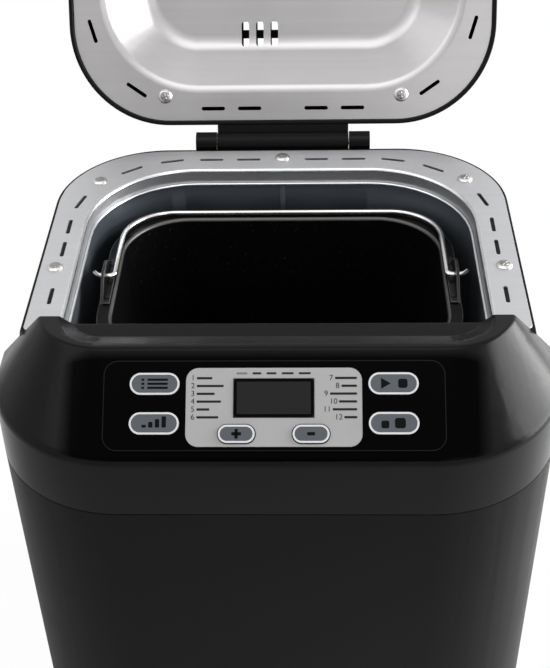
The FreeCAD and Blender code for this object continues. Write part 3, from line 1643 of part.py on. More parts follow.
def bail():
    """The wire handle, folded back on the rim, its hooked ends turned out through the tabs."""
    wire = body("bail")
    made = sketch(wire, "bail_line", "XY_Plane", PIVOT)
    half, reach, corner = size("bail_half"), size("bail_reach"), size("bail_corner")
    bend, straight, hook = size("bail_bend"), size("bail_straight"), size("bail_hook")
    end = math.radians(size("bail_hook_turn"))
    point = FreeCAD.Vector

    def arc(x, y, radius, first, last):
        turns = (first, (first + last) / 2, last)
        return Part.Arc(*[point(x + radius * math.cos(t), y + radius * math.sin(t), 0) for t in turns])

    quarter = math.pi / 2
    made.addGeometry(
        [
            Part.LineSegment(point(0, reach, 0), point(half - corner, reach, 0)),
            arc(half - corner, reach - corner, corner, quarter, 0),
            Part.LineSegment(point(half, reach - corner, 0), point(half, bend, 0)),
            arc(half + bend, bend, bend, 2 * quarter, 3 * quarter),
            Part.LineSegment(point(half + bend, 0, 0), point(straight, 0, 0)),
            arc(straight, hook, hook, -quarter, end - quarter),
        ]
    )
    profile = round_profile(wire, "bail_round", "YZ_Plane", "0", "bail_reach", PIVOT, "wire_radius")
    arm = swept(wire, profile, made)
    mirror = wire.newObject("PartDesign::Mirrored", "bail_mirror")
    mirror.Originals = [arm]
    mirror.MirrorPlane = ([f for f in wire.Origin.OriginFeatures if f.Role == "YZ_Plane"][0], [""])
    wire.Tip = mirror
    sub_part(wire, "bail_handle", swing=("0", PIVOT, BAIL_DROP))


def paddle():
    """The kneading paddle, the shaft it sits on and the wing that the drive's dog turns."""
    under = PAN_UNDER
    low = f"({SOCKET_FLOOR} + wing_rise)"
    seat = f"({PAN_FLOOR} + bush_flange_sheet + paddle_gap)"
    sub_part(rod("spindle", "0", "0", low, "pan_shaft", f"{seat} + 14 - {low}"), "pan_shaft")
    hub = rod("paddle_boss", "0", "0", seat, "paddle_hub", "paddle_hub_height")
    fin = body("paddle_fin")
    corners = [
        ("pan_shaft", seat),
        ("paddle_reach", seat),
        ("paddle_reach - 4", f"{seat} + paddle_hub_height - 2"),
        ("pan_shaft", f"{seat} + paddle_hub_height + 5"),
    ]
    pad(fin, polygon(fin, "fin_edge", corners, "XZ_Plane"), "paddle_sheet", midplane=True)
    bore = rod("paddle_bore", "0", "0", f"{seat} - 1", "pan_shaft", "15.2")
    sub_part(cut("paddle_cut", fuse("paddle_joined", hub, fin), bore), "kneading_paddle")
    bar = block("wing_bar", "-wing_width / 2", "-wing_length / 2", low, "wing_width", "wing_length",
                "wing_height")
    boss = rod("wing_boss", "0", "0", low, "pan_shaft + 1", f"{under} - bush_hang - 0.6 - {low}")
    hole = rod("wing_bore", "0", "0", f"{low} - 1", "pan_shaft", "2 * through_cut")
    sub_part(cut("wing", fuse("wing_joined", bar, boss), hole), "wing_coupling")


def cord_gland():
    """The bush in the rear wall where the mains lead would come in."""
    neck = rod("gland_neck", "cord_x", "rear_reach - draft - wall - 3", "cord_z", "gland_radius", "wall + 5",
               "Y")
    flange = rod("gland_flange", "cord_x", "rear_reach - draft + 0.7", "cord_z", "gland_flange",
                 "gland_flange_sheet", "Y")
    bore = rod("gland_bore", "cord_x", "rear_reach - through_cut", "cord_z", "cord_bore", "2 * through_cut",
               "Y")
    sub_part(cut("gland", fuse("gland_joined", neck, flange), bore), "cord_gland")


def check(made):
    """Stop if any object failed or a sub-part is not a sound solid."""
    faults = [f"{obj.Name} {obj.State}" for obj in doc.Objects if {"Invalid", "Error"} & set(obj.State)]
    for obj in made:
        shape = obj.Shape
        if shape.isNull() or not shape.isValid() or not shape.Solids:
            faults.append(f"{obj.Label} is not a sound solid")
    if faults:
        raise RuntimeError("; ".join(faults))


lower_housing()
upper_housing()
deck_plate()
deck_screws()
base_and_feet()
chassis_plate()
oven_chamber()
heater()
oven_sensors()
pan_socket()
bearing()
drive_parts()
motor_parts()
boards()
control_panel()
lid_shell()
lid_liner()
lid_screws()
hinge_pins()
bread_pan()
pan_tabs()
pan_underside()
bail()
paddle()
cord_gland()
doc.recompute()
check(parts)
os.makedirs("parts", exist_ok=True)
for obj in parts:
    obj.Shape.exportStep(f"parts/{obj.Label}.step")
    print(obj.Label, len(obj.Shape.Solids), round(obj.Shape.Volume))
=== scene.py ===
"""Looks of a countertop bread machine with its lid open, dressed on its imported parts.

Metres, +Z up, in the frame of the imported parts. The pan's upright axis stands at x = 0, y = AXIS_Y.
"""

import json
import logging
import math
from dataclasses import dataclass, field
from enum import Enum
from typing import Any, Callable, Iterable, Sequence

import bmesh
import bpy
from mathutils import Matrix, Vector

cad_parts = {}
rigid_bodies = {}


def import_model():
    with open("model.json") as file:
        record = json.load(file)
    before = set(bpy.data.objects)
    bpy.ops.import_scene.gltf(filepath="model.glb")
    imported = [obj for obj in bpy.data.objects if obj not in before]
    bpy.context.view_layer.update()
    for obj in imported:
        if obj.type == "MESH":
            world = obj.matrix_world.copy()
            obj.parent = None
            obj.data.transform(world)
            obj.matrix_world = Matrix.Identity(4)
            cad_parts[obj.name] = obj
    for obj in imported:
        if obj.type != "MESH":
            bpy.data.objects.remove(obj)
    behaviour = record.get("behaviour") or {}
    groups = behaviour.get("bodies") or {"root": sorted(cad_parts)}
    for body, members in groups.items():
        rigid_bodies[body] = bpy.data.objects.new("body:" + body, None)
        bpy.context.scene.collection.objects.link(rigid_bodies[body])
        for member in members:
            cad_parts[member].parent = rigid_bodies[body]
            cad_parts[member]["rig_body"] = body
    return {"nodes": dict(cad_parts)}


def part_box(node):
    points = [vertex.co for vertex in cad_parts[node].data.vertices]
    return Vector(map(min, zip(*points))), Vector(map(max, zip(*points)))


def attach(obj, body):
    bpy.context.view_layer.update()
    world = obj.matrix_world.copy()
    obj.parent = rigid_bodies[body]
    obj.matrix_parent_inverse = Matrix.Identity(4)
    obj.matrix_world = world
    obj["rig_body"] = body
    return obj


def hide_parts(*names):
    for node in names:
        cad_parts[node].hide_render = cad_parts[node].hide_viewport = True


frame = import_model()
LOG = logging.getLogger("bread_machine")

Colour = tuple[float, float, float]
Mesh = bmesh.types.BMesh
Vert = bmesh.types.BMVert
Edge = bmesh.types.BMEdge
Piece = bpy.types.Object
EdgeTest = Callable[[Edge], bool]

MM = 0.001
AXIS_Y = -30.2 * MM
DECK = 240.0 * MM
RIDGE_Y = AXIS_Y - 94.0 * MM
RIDGE_Z = DECK + 13.5 * MM


def _operator(operation: str, swapped: bool = False) -> Callable[["Shade", Any], "Shade"]:
    """Give an arithmetic method that adds one Math node; swapped, the other value comes first."""

    def method(self: "Shade", other: Any) -> "Shade":
        """Add the node."""
        first, second = (other, self) if swapped else (self, other)
        return self.paint.node("ShaderNodeMath", {"operation": operation}, {0: first, 1: second})

    return method


class Shade:
    """A value in a node tree that takes part in arithmetic."""

    def __init__(self, paint: "Paint", socket: bpy.types.NodeSocket) -> None:
        """Keep the socket and the paint that it belongs to."""
        self.paint = paint
        self.socket = socket

    __add__ = _operator("ADD")
    __radd__ = _operator("ADD", True)
    __sub__ = _operator("SUBTRACT")
    __rsub__ = _operator("SUBTRACT", True)
    __mul__ = _operator("MULTIPLY")
    __truediv__ = _operator("DIVIDE")


class Paint:
    """The node tree of a material or a world, under construction."""

    def __init__(self, owner: bpy.types.Material | bpy.types.World) -> None:
        """Start an empty tree for a material or a world."""
        owner.use_nodes = True
        self.tree = owner.node_tree
        self.tree.nodes.clear()

    def node(
        self,
        kind: str,
        settings: dict[str, Any] | None = None,
        sockets: dict[Any, Any] | None = None,
        output: int | str = 0,
    ) -> Shade:
        """Add one node.

        Args:
            kind: The node's type.
            settings: Its properties.
            sockets: Values or links of its input sockets.
            output: Which output to hand back.

        Returns:
            The chosen output.
        """
        made = self.tree.nodes.new(kind)
        for name, value in (settings or {}).items():
            setattr(made, name, value)
        for key, value in (sockets or {}).items():
            if isinstance(value, Shade):
                self.tree.links.new(value.socket, made.inputs[key])
            else:
                made.inputs[key].default_value = value
        return Shade(self, made.outputs[output] if made.outputs else None)

    def spot(self) -> Shade:
        """Give the object's own coordinates, in metres."""
        return self.node("ShaderNodeTexCoord", output="Object")

    def cells(self, scale: Sequence[float]) -> Shade:
        """Give the object's own coordinates, scaled along each axis."""
        return self.node("ShaderNodeMapping", {}, {"Vector": self.spot(), "Scale": scale})

    def noise(self, scale: Sequence[float] | float, detail: float = 3.0, rough: float = 0.55) -> Shade:
        """Give a noise value.

        Args:
            scale: Cells for each metre, along each axis or along all.
            detail: Octaves.
            rough: Weight of the finer octaves.

        Returns:
            A value round 0.5.
        """
        if isinstance(scale, (int, float)):
            scale = (scale, scale, scale)
        sockets = {"Vector": self.cells(scale), "Scale": 1.0, "Detail": detail, "Roughness": rough}
        return self.node("ShaderNodeTexNoise", {}, sockets)

    def part(self, axis: str) -> Shade:
        """Give one of the object's own coordinates, in metres."""
        return self.node("ShaderNodeSeparateXYZ", {}, {"Vector": self.spot()}, axis)

    def ramp(self, value: Shade, stops: Sequence[tuple[float, float]]) -> Shade:
        """Send a value through a grey ramp with two stops, each a place and a level."""
        shade = self.node("ShaderNodeValToRGB", {}, {"Fac": value})
        for element, (place, level) in zip(shade.socket.node.color_ramp.elements, stops):
            element.position = place
            element.color = (level, level, level, 1.0)
        return shade

    def blend(self, factor: Shade, first: Any, second: Any) -> Shade:
        """Mix two colours."""
        colours = [(*c, 1.0) if isinstance(c, tuple) else c for c in (first, second)]
        settings = {"data_type": "RGBA", "clamp_factor": True}
        return self.node("ShaderNodeMix", settings, {0: factor, 6: colours[0], 7: colours[1]}, 2)

    def bump(self, height: Shade, strength: float, depth: float) -> Shade:
        """Turn a height into a normal."""
        sockets = {"Height": height, "Strength": strength, "Distance": depth}
        return self.node("ShaderNodeBump", {}, sockets)


def shaded(colour: Colour, factor: float) -> Colour:
    """Give a colour made darker or lighter by a factor."""
    return tuple(min(1.0, part * factor) for part in colour)


@dataclass(frozen=True)
class Finish:
    """A surface finish, made into a material the first time it is asked for."""

    name: str
    colour: Colour
    roughness: float = 0.45
    specular: float = 0.5

    def material(self) -> bpy.types.Material:
        """Give the finish's material."""
        made = bpy.data.materials.get(self.name)
        if not made:
            made = bpy.data.materials.new(self.name)
            paint = Paint(made)
            paint.node("ShaderNodeOutputMaterial", {}, {"Surface": self.shader(paint)})
        return made

    def shader(self, paint: Paint) -> Shade:
        """Give the finish's shader."""
        return paint.node("ShaderNodeBsdfPrincipled", {}, self.sockets(paint))

    def sockets(self, paint: Paint) -> dict[str, Any]:
        """Give the values of the shader's sockets."""
        raise NotImplementedError(self.name)

    def tones(self, spread: float) -> tuple[Colour, Colour]:
        """Give the colour made darker and lighter by a share."""
        return shaded(self.colour, 1.0 - spread), shaded(self.colour, 1.0 + spread)


@dataclass(frozen=True)
class Moulded(Finish):
    """Moulded plastic or rubber: spark-eroded grain, soft marbling, faint drawn lines."""

    grain: float = 0.3
    grain_size: float = 0.0007
    marbling: float = 0.18
    lines: float = 0.0
    coat: float = 0.0

    def sockets(self, paint: Paint) -> dict[str, Any]:
        """Give the values of the shader's sockets."""
        cloud = paint.noise(11.0, 5.0)
        speck = paint.noise(1.0 / self.grain_size, 2.0)
        drawn = paint.noise((9.0, 9.0, 1100.0), 4.0, 0.6)
        tone = paint.ramp(cloud * (1.0 - self.lines) + drawn * self.lines, ((0.3, 0.0), (0.7, 1.0)))
        rough = self.roughness + (cloud - 0.5) * 0.10 + (speck - 0.5) * 0.06
        return {
            "Base Color": paint.blend(tone, *self.tones(self.marbling)),
            "Roughness": rough + (drawn - 0.5) * (0.12 * self.lines),
            "Specular IOR Level": self.specular,
            "Coat Weight": self.coat,
            "Coat Roughness": 0.08,
            "Normal": paint.bump(speck, self.grain, 0.25 * self.grain_size),
        }


RISING = ((0.0, 0.0), (1.0, 1.0))


@dataclass(frozen=True)
class MouldedWithPaintedShadeSlope(Moulded):
    """Moulded plastic whose leaning console face is painted near-black with a weak sheen: painted shade,
    standing in for the dark reflection that the slope shows.
    """

    normal: tuple[float, float, float] = (0.0, -0.64875, 0.761)
    hip: float = 3.2 * MM
    hip_fade: float = 1.6 * MM
    ridge_fade: float = 3.2 * MM
    foot_z: float = DECK - 16.2 * MM
    foot_fade: float = 0.7 * MM
    black: float = 0.0005
    sheen: float = 0.02

    def shader(self, paint: Paint) -> Shade:
        """Give the finish's shader: the plain satin, mixed into the painted shade on the leaning face."""
        plain = super().shader(paint)
        deep = self.sockets(paint)
        # Painted shade: a near-black base with a weak sheen, in place of the dark reflection on the
        # leaning face.
        deep["Base Color"] = paint.blend(paint.noise(40.0), (0.0, 0.0, 0.0), (self.black,) * 3)
        deep["Specular IOR Level"] = self.sheen
        painted_shade = paint.node("ShaderNodeBsdfPrincipled", {}, deep)
        return paint.node("ShaderNodeMixShader", {}, {0: self.face(paint), 1: plain, 2: painted_shade})

    def face(self, paint: Paint) -> Shade:
        """Give 1 on the leaning face, falling to 0 at its hips, its ridge and its foot: the mask of the
        painted shade.
        """
        sockets = {0: paint.spot(), 1: self.normal}
        along = paint.node("ShaderNodeVectorMath", {"operation": "DOT_PRODUCT"}, sockets, "Value")
        depth = along - Vector((0.0, RIDGE_Y, RIDGE_Z)).dot(Vector(self.normal))
        hips = paint.ramp((depth + self.hip) / self.hip_fade, RISING)
        ridge = paint.ramp((RIDGE_Y - paint.part("Y")) / self.ridge_fade, RISING)
        foot = paint.ramp((paint.part("Z") - self.foot_z) / self.foot_fade, RISING)
        return hips * ridge * foot


@dataclass(frozen=True)
class Sheet(Finish):
    """Bare or plated metal: rolled lines along one axis, faint handling marks."""

    lines: float = 0.20
    run: Sequence[float] = (6.0, 420.0, 420.0)
    smudge: float = 0.08
    drawn: float = 0.06
    depth: float = 0.00006

    def sockets(self, paint: Paint) -> dict[str, Any]:
        """Give the values of the shader's sockets."""
        rolled = paint.noise(self.run, 5.0, 0.6)
        hands = paint.noise(23.0, 4.0, 0.6)
        fine = paint.noise(1600.0, 2.0)
        tone = paint.ramp(rolled * 0.5 + hands * 0.5, ((0.35, 0.0), (0.65, 1.0)))
        return {
            "Base Color": paint.blend(tone, *self.tones(self.drawn)),
            "Metallic": 1.0,
            "Roughness": self.roughness + (hands - 0.5) * self.smudge + (rolled - 0.5) * self.drawn,
            "Normal": paint.bump(rolled * 0.7 + fine * 0.3, self.lines, self.depth),
        }


@dataclass(frozen=True)
class NonStick(Finish):
    """A sprayed non-stick coat: a fine pebble, tiny pale flecks."""

    fleck: Colour = (0.05, 0.05, 0.052)

    def sockets(self, paint: Paint) -> dict[str, Any]:
        """Give the values of the shader's sockets."""
        pebble = paint.noise(1500.0, 3.0)
        cloud = paint.noise(30.0, 4.0)
        flecks = paint.ramp(paint.noise(900.0, 1.0), ((0.70, 0.0), (0.74, 1.0)))
        coat = paint.blend(cloud, shaded(self.colour, 0.8), shaded(self.colour, 1.25))
        return {
            "Base Color": paint.blend(flecks * 0.55, coat, self.fleck),
            "Roughness": self.roughness + (cloud - 0.5) * 0.12,
            "Specular IOR Level": self.specular,
            "Normal": paint.bump(pebble, 0.25, 0.00008),
        }


@dataclass(frozen=True)
class Printed(Finish):
    """Ink on a panel: a fine screen grain and a little unevenness."""

    unevenness: float = 0.07

    def sockets(self, paint: Paint) -> dict[str, Any]:
        """Give the values of the shader's sockets."""
        screen = paint.noise(2600.0, 2.0)
        cloud = paint.noise(45.0, 3.0)
        return {
            "Base Color": paint.blend(screen * 0.4 + cloud * 0.6, *self.tones(self.unevenness)),
            "Roughness": self.roughness + (screen - 0.5) * 0.10,
            "Specular IOR Level": self.specular,
            "Normal": paint.bump(screen, 0.12, 0.00003),
        }


@dataclass(frozen=True)
class Circuit(Finish):
    """A printed circuit board: solder resist over tracks, with bare pads."""

    pad: Colour = (0.62, 0.55, 0.40)

    def sockets(self, paint: Paint) -> dict[str, Any]:
        """Give the values of the shader's sockets."""
        sockets = {"Vector": paint.cells((300.0, 300.0, 300.0)), "Scale": 1.0}
        cells = paint.node("ShaderNodeTexVoronoi", {"distance": "CHEBYCHEV"}, sockets)
        pads = paint.ramp(cells, ((0.10, 1.0), (0.13, 0.0)))
        tracks = paint.ramp(cells, ((0.40, 0.0), (0.44, 1.0)))
        resist = paint.blend(tracks, self.colour, shaded(self.colour, 1.8))
        return {
            "Base Color": paint.blend(pads, resist, self.pad),
            "Metallic": pads * 0.9,
            "Roughness": self.roughness - pads * 0.1,
            "Normal": paint.bump(tracks, 0.3, 0.00004),
        }


# The upper housing's leaning console face carries painted shade: near-black with a weak sheen, in place of
# the dark reflection there.
CASE = MouldedWithPaintedShadeSlope("case_black_satin_painted_slope_shade", (0.0028, 0.0025, 0.0026), 0.24, 0.11, 0.2, lines=0.15)
TUB = Moulded("case_black_drawn", (0.0026, 0.0023, 0.0023), 0.40, 0.070, lines=0.7)
LID_CASE = Moulded("lid_black_satin", (0.0025, 0.0024, 0.0024), 0.42, 0.10)
RUBBER = Moulded("foot_rubber", (0.012, 0.012, 0.012), 0.75, 0.25, 0.6, 0.0012)
OVERLAY = Moulded("overlay_gloss", (0.0006, 0.0006, 0.00065), 0.20, 0.02, 0.05, 0.0005)
# Dark grey for the line around the overlay: a painted highlight on the overlay's rounded edge.
OVERLAY_EDGE_HIGHLIGHT = Printed("overlay_edge_painted_highlight", (0.008, 0.008, 0.0084), 0.35, 0.08)
DECK_SHEET = Sheet("deck_silver_sheet", (0.545, 0.55, 0.565), 0.44, drawn=0.04)
LID_SHEET = Sheet("lid_silver_sheet", (0.455, 0.445, 0.447), 0.35, run=(5.0, 300.0, 300.0), drawn=0.04)
ROLLED_EDGE = Sheet("deck_rolled_edge", (0.70, 0.71, 0.73), 0.24, lines=0.15)
OVEN_SHEET = Sheet("oven_blued_sheet", (0.155, 0.176, 0.202), 0.52, lines=0.25, smudge=0.20)
BRIGHT_SCREW = Sheet("screw_zinc", (0.56, 0.555, 0.545), 0.30, lines=0.15)
# Darker zinc for the middle of each screw head: painted shade around the cross recess.
SCREW_PAINTED_SHADE = Sheet("screw_zinc_painted_shade", (0.30, 0.296, 0.29), 0.36, lines=0.15)
PAN_COAT = NonStick("pan_nonstick", (0.0020, 0.0020, 0.0021), 0.42, 0.10)
PAN_WORN = Sheet("pan_worn_edge", (0.105, 0.102, 0.100), 0.46, lines=0.3, smudge=0.3)
WIRE = Sheet("bail_bright_wire", (0.74, 0.72, 0.70), 0.20, lines=0.2)
TAB_SHEET = Sheet("tab_dark_sheet", (0.028, 0.028, 0.029), 0.40)
KEY = Moulded("key_slate", (0.083, 0.092, 0.105), 0.38, 0.27, 0.15, 0.0005, 0.06)
KEY_RING = Printed("key_pale_ring", (0.66, 0.66, 0.68), 0.40, 0.4)
KEY_MARK = Printed("key_dark_mark", (0.003, 0.003, 0.0034), 0.45, 0.06)
LABEL = Printed("label_pale_grey", (0.375, 0.370, 0.372), 0.42, 0.30)
LABEL_INK = Printed("label_dark_ink", (0.012, 0.012, 0.0125), 0.5, 0.12)
LABEL_FAINT = Printed("label_faint_ink", (0.16, 0.16, 0.162), 0.5, 0.3)
LENS = Moulded("display_dark_lens", (0.014, 0.014, 0.0144), 0.18, 0.10, 0.04, 0.0005, 0.03)
LENS_FRAME = Printed("display_black_frame", (0.0012, 0.0012, 0.0012), 0.30, 0.02)
ZINC = Sheet("chassis_zinc_sheet", (0.50, 0.52, 0.53), 0.40)
MOTOR = Sheet("motor_core_steel", (0.32, 0.32, 0.33), 0.42, run=(420.0, 420.0, 900.0))
BOARD = Circuit("board_green", (0.012, 0.085, 0.035), 0.38)
COMPONENT = Moulded("component_black", (0.020, 0.020, 0.021), 0.5, 0.4)
NYLON = Moulded("nylon_natural", (0.55, 0.53, 0.48), 0.45, 0.4, 0.2)
SHEATH = Sheet("heater_sheath", (0.20, 0.19, 0.18), 0.48, smudge=0.3)
CERAMIC = Moulded("ceramic_white", (0.72, 0.70, 0.66), 0.40, 0.5, 0.15)
BRONZE = Sheet("bush_bronze", (0.50, 0.34, 0.16), 0.36)
CAST = Sheet("cast_metal", (0.42, 0.42, 0.43), 0.50, lines=0.5, run=(500.0, 500.0, 500.0), depth=0.0001)
BELT = Moulded("belt_rubber", (0.015, 0.015, 0.015), 0.7, 0.3, 0.5, 0.001)


def placed(name: str, data: Any) -> Piece:
    """Put a mesh, a lamp or a camera into the scene."""
    piece = bpy.data.objects.new(name, data)
    bpy.context.scene.collection.objects.link(piece)
    return piece


def finished(mesh: Mesh, name: str, *finishes: Finish, smooth: float = 32.0) -> Piece:
    """Turn a mesh under construction into an object.

    Args:
        mesh: The mesh, which is used up.
        name: The piece's name.
        finishes: Its finishes, in the order of the faces' material numbers.
        smooth: Edges sharper than this many degrees stay sharp.

    Returns:
        The object, with its place in its mesh.
    """
    data = bpy.data.meshes.new(name)
    for face in mesh.faces:
        face.smooth = True
    mesh.to_mesh(data)
    mesh.free()
    data.set_sharp_from_angle(angle=math.radians(smooth))
    for finish in finishes:
        data.materials.append(finish.material())
    return placed(name, data)


def carried(piece: Piece, body: str, *nodes: str, slot: str | None = None) -> Piece:
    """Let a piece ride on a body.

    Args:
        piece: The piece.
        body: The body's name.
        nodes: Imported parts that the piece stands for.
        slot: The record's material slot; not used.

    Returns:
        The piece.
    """
    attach(piece, body)
    if nodes:
        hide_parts(*nodes)
    LOG.info("%s rides on %s", piece.name, body)
    return piece


@dataclass
class SoftEdge:
    """A rounding for the edges of a part that a test picks."""

    width: float
    test: EdgeTest
    steps: int = 2
    sharper_than: float = 28.0
    number: int = 0


def merged(node: str) -> Mesh:
    """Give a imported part's mesh with its triangles joined and its flat faces whole."""
    mesh = bmesh.new()
    mesh.from_mesh(frame["nodes"][node].data)
    bmesh.ops.remove_doubles(mesh, verts=mesh.verts, dist=2e-6)
    bmesh.ops.dissolve_limit(
        mesh, angle_limit=math.radians(0.4), verts=mesh.verts, edges=mesh.edges, delimit={"NORMAL"}
    )
    return mesh


def bevelled(mesh: Mesh, picked: Sequence[Any], width: float, steps: int, affect: str = "EDGES") -> list:
    """Round edges of a mesh, or corners of a flat one, and give the faces of the rounding."""
    made = bmesh.ops.bevel(
        mesh, geom=picked, offset=width, offset_type="OFFSET", segments=steps, profile=0.5,
        affect=affect, clamp_overlap=False, material=-1,
    )
    return made["faces"]


def soften(mesh: Mesh, edge: SoftEdge) -> None:
    """Round the sharp outer edges that a test picks."""
    limit = math.radians(edge.sharper_than)
    picked = [
        e
        for e in mesh.edges
        if len(e.link_faces) == 2 and e.is_convex and e.calc_face_angle(0.0) > limit and edge.test(e)
    ]
    if not picked:
        LOG.warning("no edge to soften")
        return
    for face in bevelled(mesh, picked, edge.width, edge.steps):
        face.material_index = edge.number


def dressed(node: str, *finishes: Finish, edges: Iterable[SoftEdge] = (), smooth: float = 32.0) -> Piece:
    """Stand a merged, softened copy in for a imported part.

    Args:
        node: The part's name.
        finishes: The copy's finishes.
        edges: Its roundings.
        smooth: Edges sharper than this many degrees stay sharp.

    Returns:
        The copy, riding on the part's body.
    """
    mesh = merged(node)
    for edge in edges:
        soften(mesh, edge)
    piece = finished(mesh, node + "_skin", *finishes, smooth=smooth)
    piece.modifiers.new("even_shading", "WEIGHTED_NORMAL").keep_sharp = True
    return carried(piece, frame["nodes"][node]["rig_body"], node)


def eased(width: float, steps: int = 2, sharper_than: float = 60.0, number: int = 0) -> list[SoftEdge]:
    """Give one rounding, in millimetres, for every sharp edge of a part."""
    return [SoftEdge(width * MM, lambda edge: True, steps, sharper_than, number)]


def paint_node(finish: Finish, *nodes: str) -> None:
    """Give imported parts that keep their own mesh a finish."""
    for name in nodes:
        data = frame["nodes"][name].data
        data.materials.clear()
        data.materials.append(finish.material())
        LOG.info("%s keeps its shape and takes %s", name, finish.name)


def middle(edge: Edge) -> Vector:
    """Give an edge's middle."""
    return (edge.verts[0].co + edge.verts[1].co) / 2


def at_height(*heights: float) -> EdgeTest:
    """Give a test for edges that lie flat at one of some heights."""
    return lambda e: any(all(abs(v.co.z - z) < 3e-5 for v in e.verts) for z in heights)


def pill_face(length: float, width: float) -> Mesh:
    """Draw a flat bar with round ends, lying along X round the origin."""
    mesh = bmesh.new()
    turn = Matrix.Rotation(math.pi / 32, 4, "Z")
    bmesh.ops.create_circle(mesh, cap_ends=True, segments=32, radius=width / 2, matrix=turn)
    run = (length - width) / 2
    for sign in (-1, 1):
        side = [v for v in mesh.verts if v.co.x * sign > 0]
        bmesh.ops.translate(mesh, verts=side, vec=(sign * run, 0.0, 0.0))
    return mesh


def plain_face(width: float, height: float) -> Mesh:
    """Draw a flat rectangle round the origin."""
    mesh = bmesh.new()
    bmesh.ops.create_grid(mesh, x_segments=1, y_segments=1, size=0.5)
    bmesh.ops.scale(mesh, vec=(width, height, 1.0), verts=mesh.verts)
    return mesh


def panel_face(width: float, height: float, corner: float) -> Mesh:
    """Draw a flat rectangle with rounded corners round the origin."""
    mesh = plain_face(width, height)
    bevelled(mesh, mesh.verts[:], corner, 8, "VERTICES")
    return mesh


def hollowed(mesh: Mesh, band: float) -> None:
    """Keep only a band along the border of a one-face mesh."""
    face = mesh.faces[:]
    bmesh.ops.inset_region(mesh, faces=face, thickness=band, use_even_offset=True, use_boundary=True)
    bmesh.ops.delete(mesh, geom=face, context="FACES")


def of_kind(kind: type, items: Iterable[Any]) -> list:
    """Give the vertices or the edges among some items of a mesh."""
    return [item for item in items if isinstance(item, kind)]


def thickened(mesh: Mesh, height: float) -> None:
    """Raise a flat mesh into a closed plate of some height."""
    flat = mesh.faces[:]
    made = bmesh.ops.extrude_face_region(mesh, geom=flat, use_keep_orig=True)
    bmesh.ops.translate(mesh, verts=of_kind(Vert, made["geom"]), vec=(0.0, 0.0, height))
    bmesh.ops.recalc_face_normals(mesh, faces=mesh.faces[:])


def added(target: Mesh, source: Mesh, place: Matrix, number: int | None = 0) -> None:
    """Put a copy of one mesh into another.

    Args:
        target: The mesh that grows.
        source: The mesh that is copied, and used up.
        place: Where the copy goes.
        number: The copy's material number; None keeps each face's own.
    """
    source.transform(place)
    for face in source.faces:
        face.material_index = face.material_index if number is None else number
    scratch = bpy.data.meshes.new("scratch")
    source.to_mesh(scratch)
    source.free()
    target.from_mesh(scratch)
    bpy.data.meshes.remove(scratch)


OVER = Matrix.Rotation(math.pi, 4, "X")


@dataclass
class PanHeadScrew:
    """A screw with a domed head and a cross recess."""

    radius: float = 3.6 * MM
    rise: float = 1.5 * MM
    rim: float = 0.35 * MM
    arm: float = 1.75 * MM
    arm_half: float = 0.45 * MM
    recess: float = 0.9 * MM
    # Share of the head's radius whose middle takes the painted shade around the recess.
    worn: float = 0.62
    dome: tuple[tuple[float, float], ...] = ((0.0, 1.0), (0.45, 0.93), (0.78, 0.70))

    def head(self) -> Mesh:
        """Build one head, standing on z = 0."""
        mesh = bmesh.new()
        outline = [(share, height * self.rise) for share, height in self.dome]
        outline += [(1.0, self.rim), (1.0, 0.0)]
        verts = [mesh.verts.new((share * self.radius, 0.0, z)) for share, z in outline]
        edges = [mesh.edges.new(pair) for pair in zip(verts, verts[1:])]
        bmesh.ops.subdivide_edges(mesh, edges=edges[:3], cuts=2, smooth=0.6)
        bmesh.ops.spin(
            mesh, geom=mesh.verts[:] + mesh.edges[:], cent=(0.0, 0.0, 0.0), axis=(0.0, 0.0, 1.0),
            angle=math.tau, steps=28, use_merge=True,
        )
        bmesh.ops.remove_doubles(mesh, verts=mesh.verts, dist=1e-6)
        self._cross(mesh)
        bmesh.ops.recalc_face_normals(mesh, faces=mesh.faces[:])
        return mesh

    def _cross(self, mesh: Mesh) -> None:
        """Sink a cross into the head."""
        for axis in ((1.0, 0.0, 0.0), (0.0, 1.0, 0.0)):
            for offset in (-self.arm, -self.arm_half, self.arm_half, self.arm):
                bmesh.ops.bisect_plane(
                    mesh, geom=mesh.verts[:] + mesh.edges[:] + mesh.faces[:], dist=1e-7,
                    plane_co=[offset * part for part in axis], plane_no=axis,
                )

        def sunk(face: bmesh.types.BMFace) -> bool:
            x, y, z = (abs(part) for part in face.calc_center_median())
            long, short = max(x, y), min(x, y)
            return z > 0.5 * self.rise and long < self.arm and short < self.arm_half

        faces = [face for face in mesh.faces if sunk(face)]
        made = bmesh.ops.extrude_face_region(mesh, geom=faces)
        floor = of_kind(Vert, made["geom"])
        bmesh.ops.translate(mesh, verts=floor, vec=(0.0, 0.0, -self.recess))

    def shade_middle(self, mesh: Mesh) -> None:
        """Give the middle of a head the second finish, a darker zinc: painted shade around the cross
        recess.
        """
        for face in mesh.faces:
            spot = face.calc_center_median()
            face.material_index = int(math.hypot(spot.x, spot.y) < self.worn * self.radius)

    def row(self, name: str, places: Sequence[Matrix]) -> Piece:
        """Build several heads as one piece, one at each place."""
        mesh = bmesh.new()
        for number, place in enumerate(places):
            spun = Matrix.Rotation(0.7 * number + 0.3, 4, "Z")
            head = self.head()
            self.shade_middle(head)
            added(mesh, head, place @ spun, None)
        return finished(mesh, name, BRIGHT_SCREW, SCREW_PAINTED_SHADE, smooth=40.0)


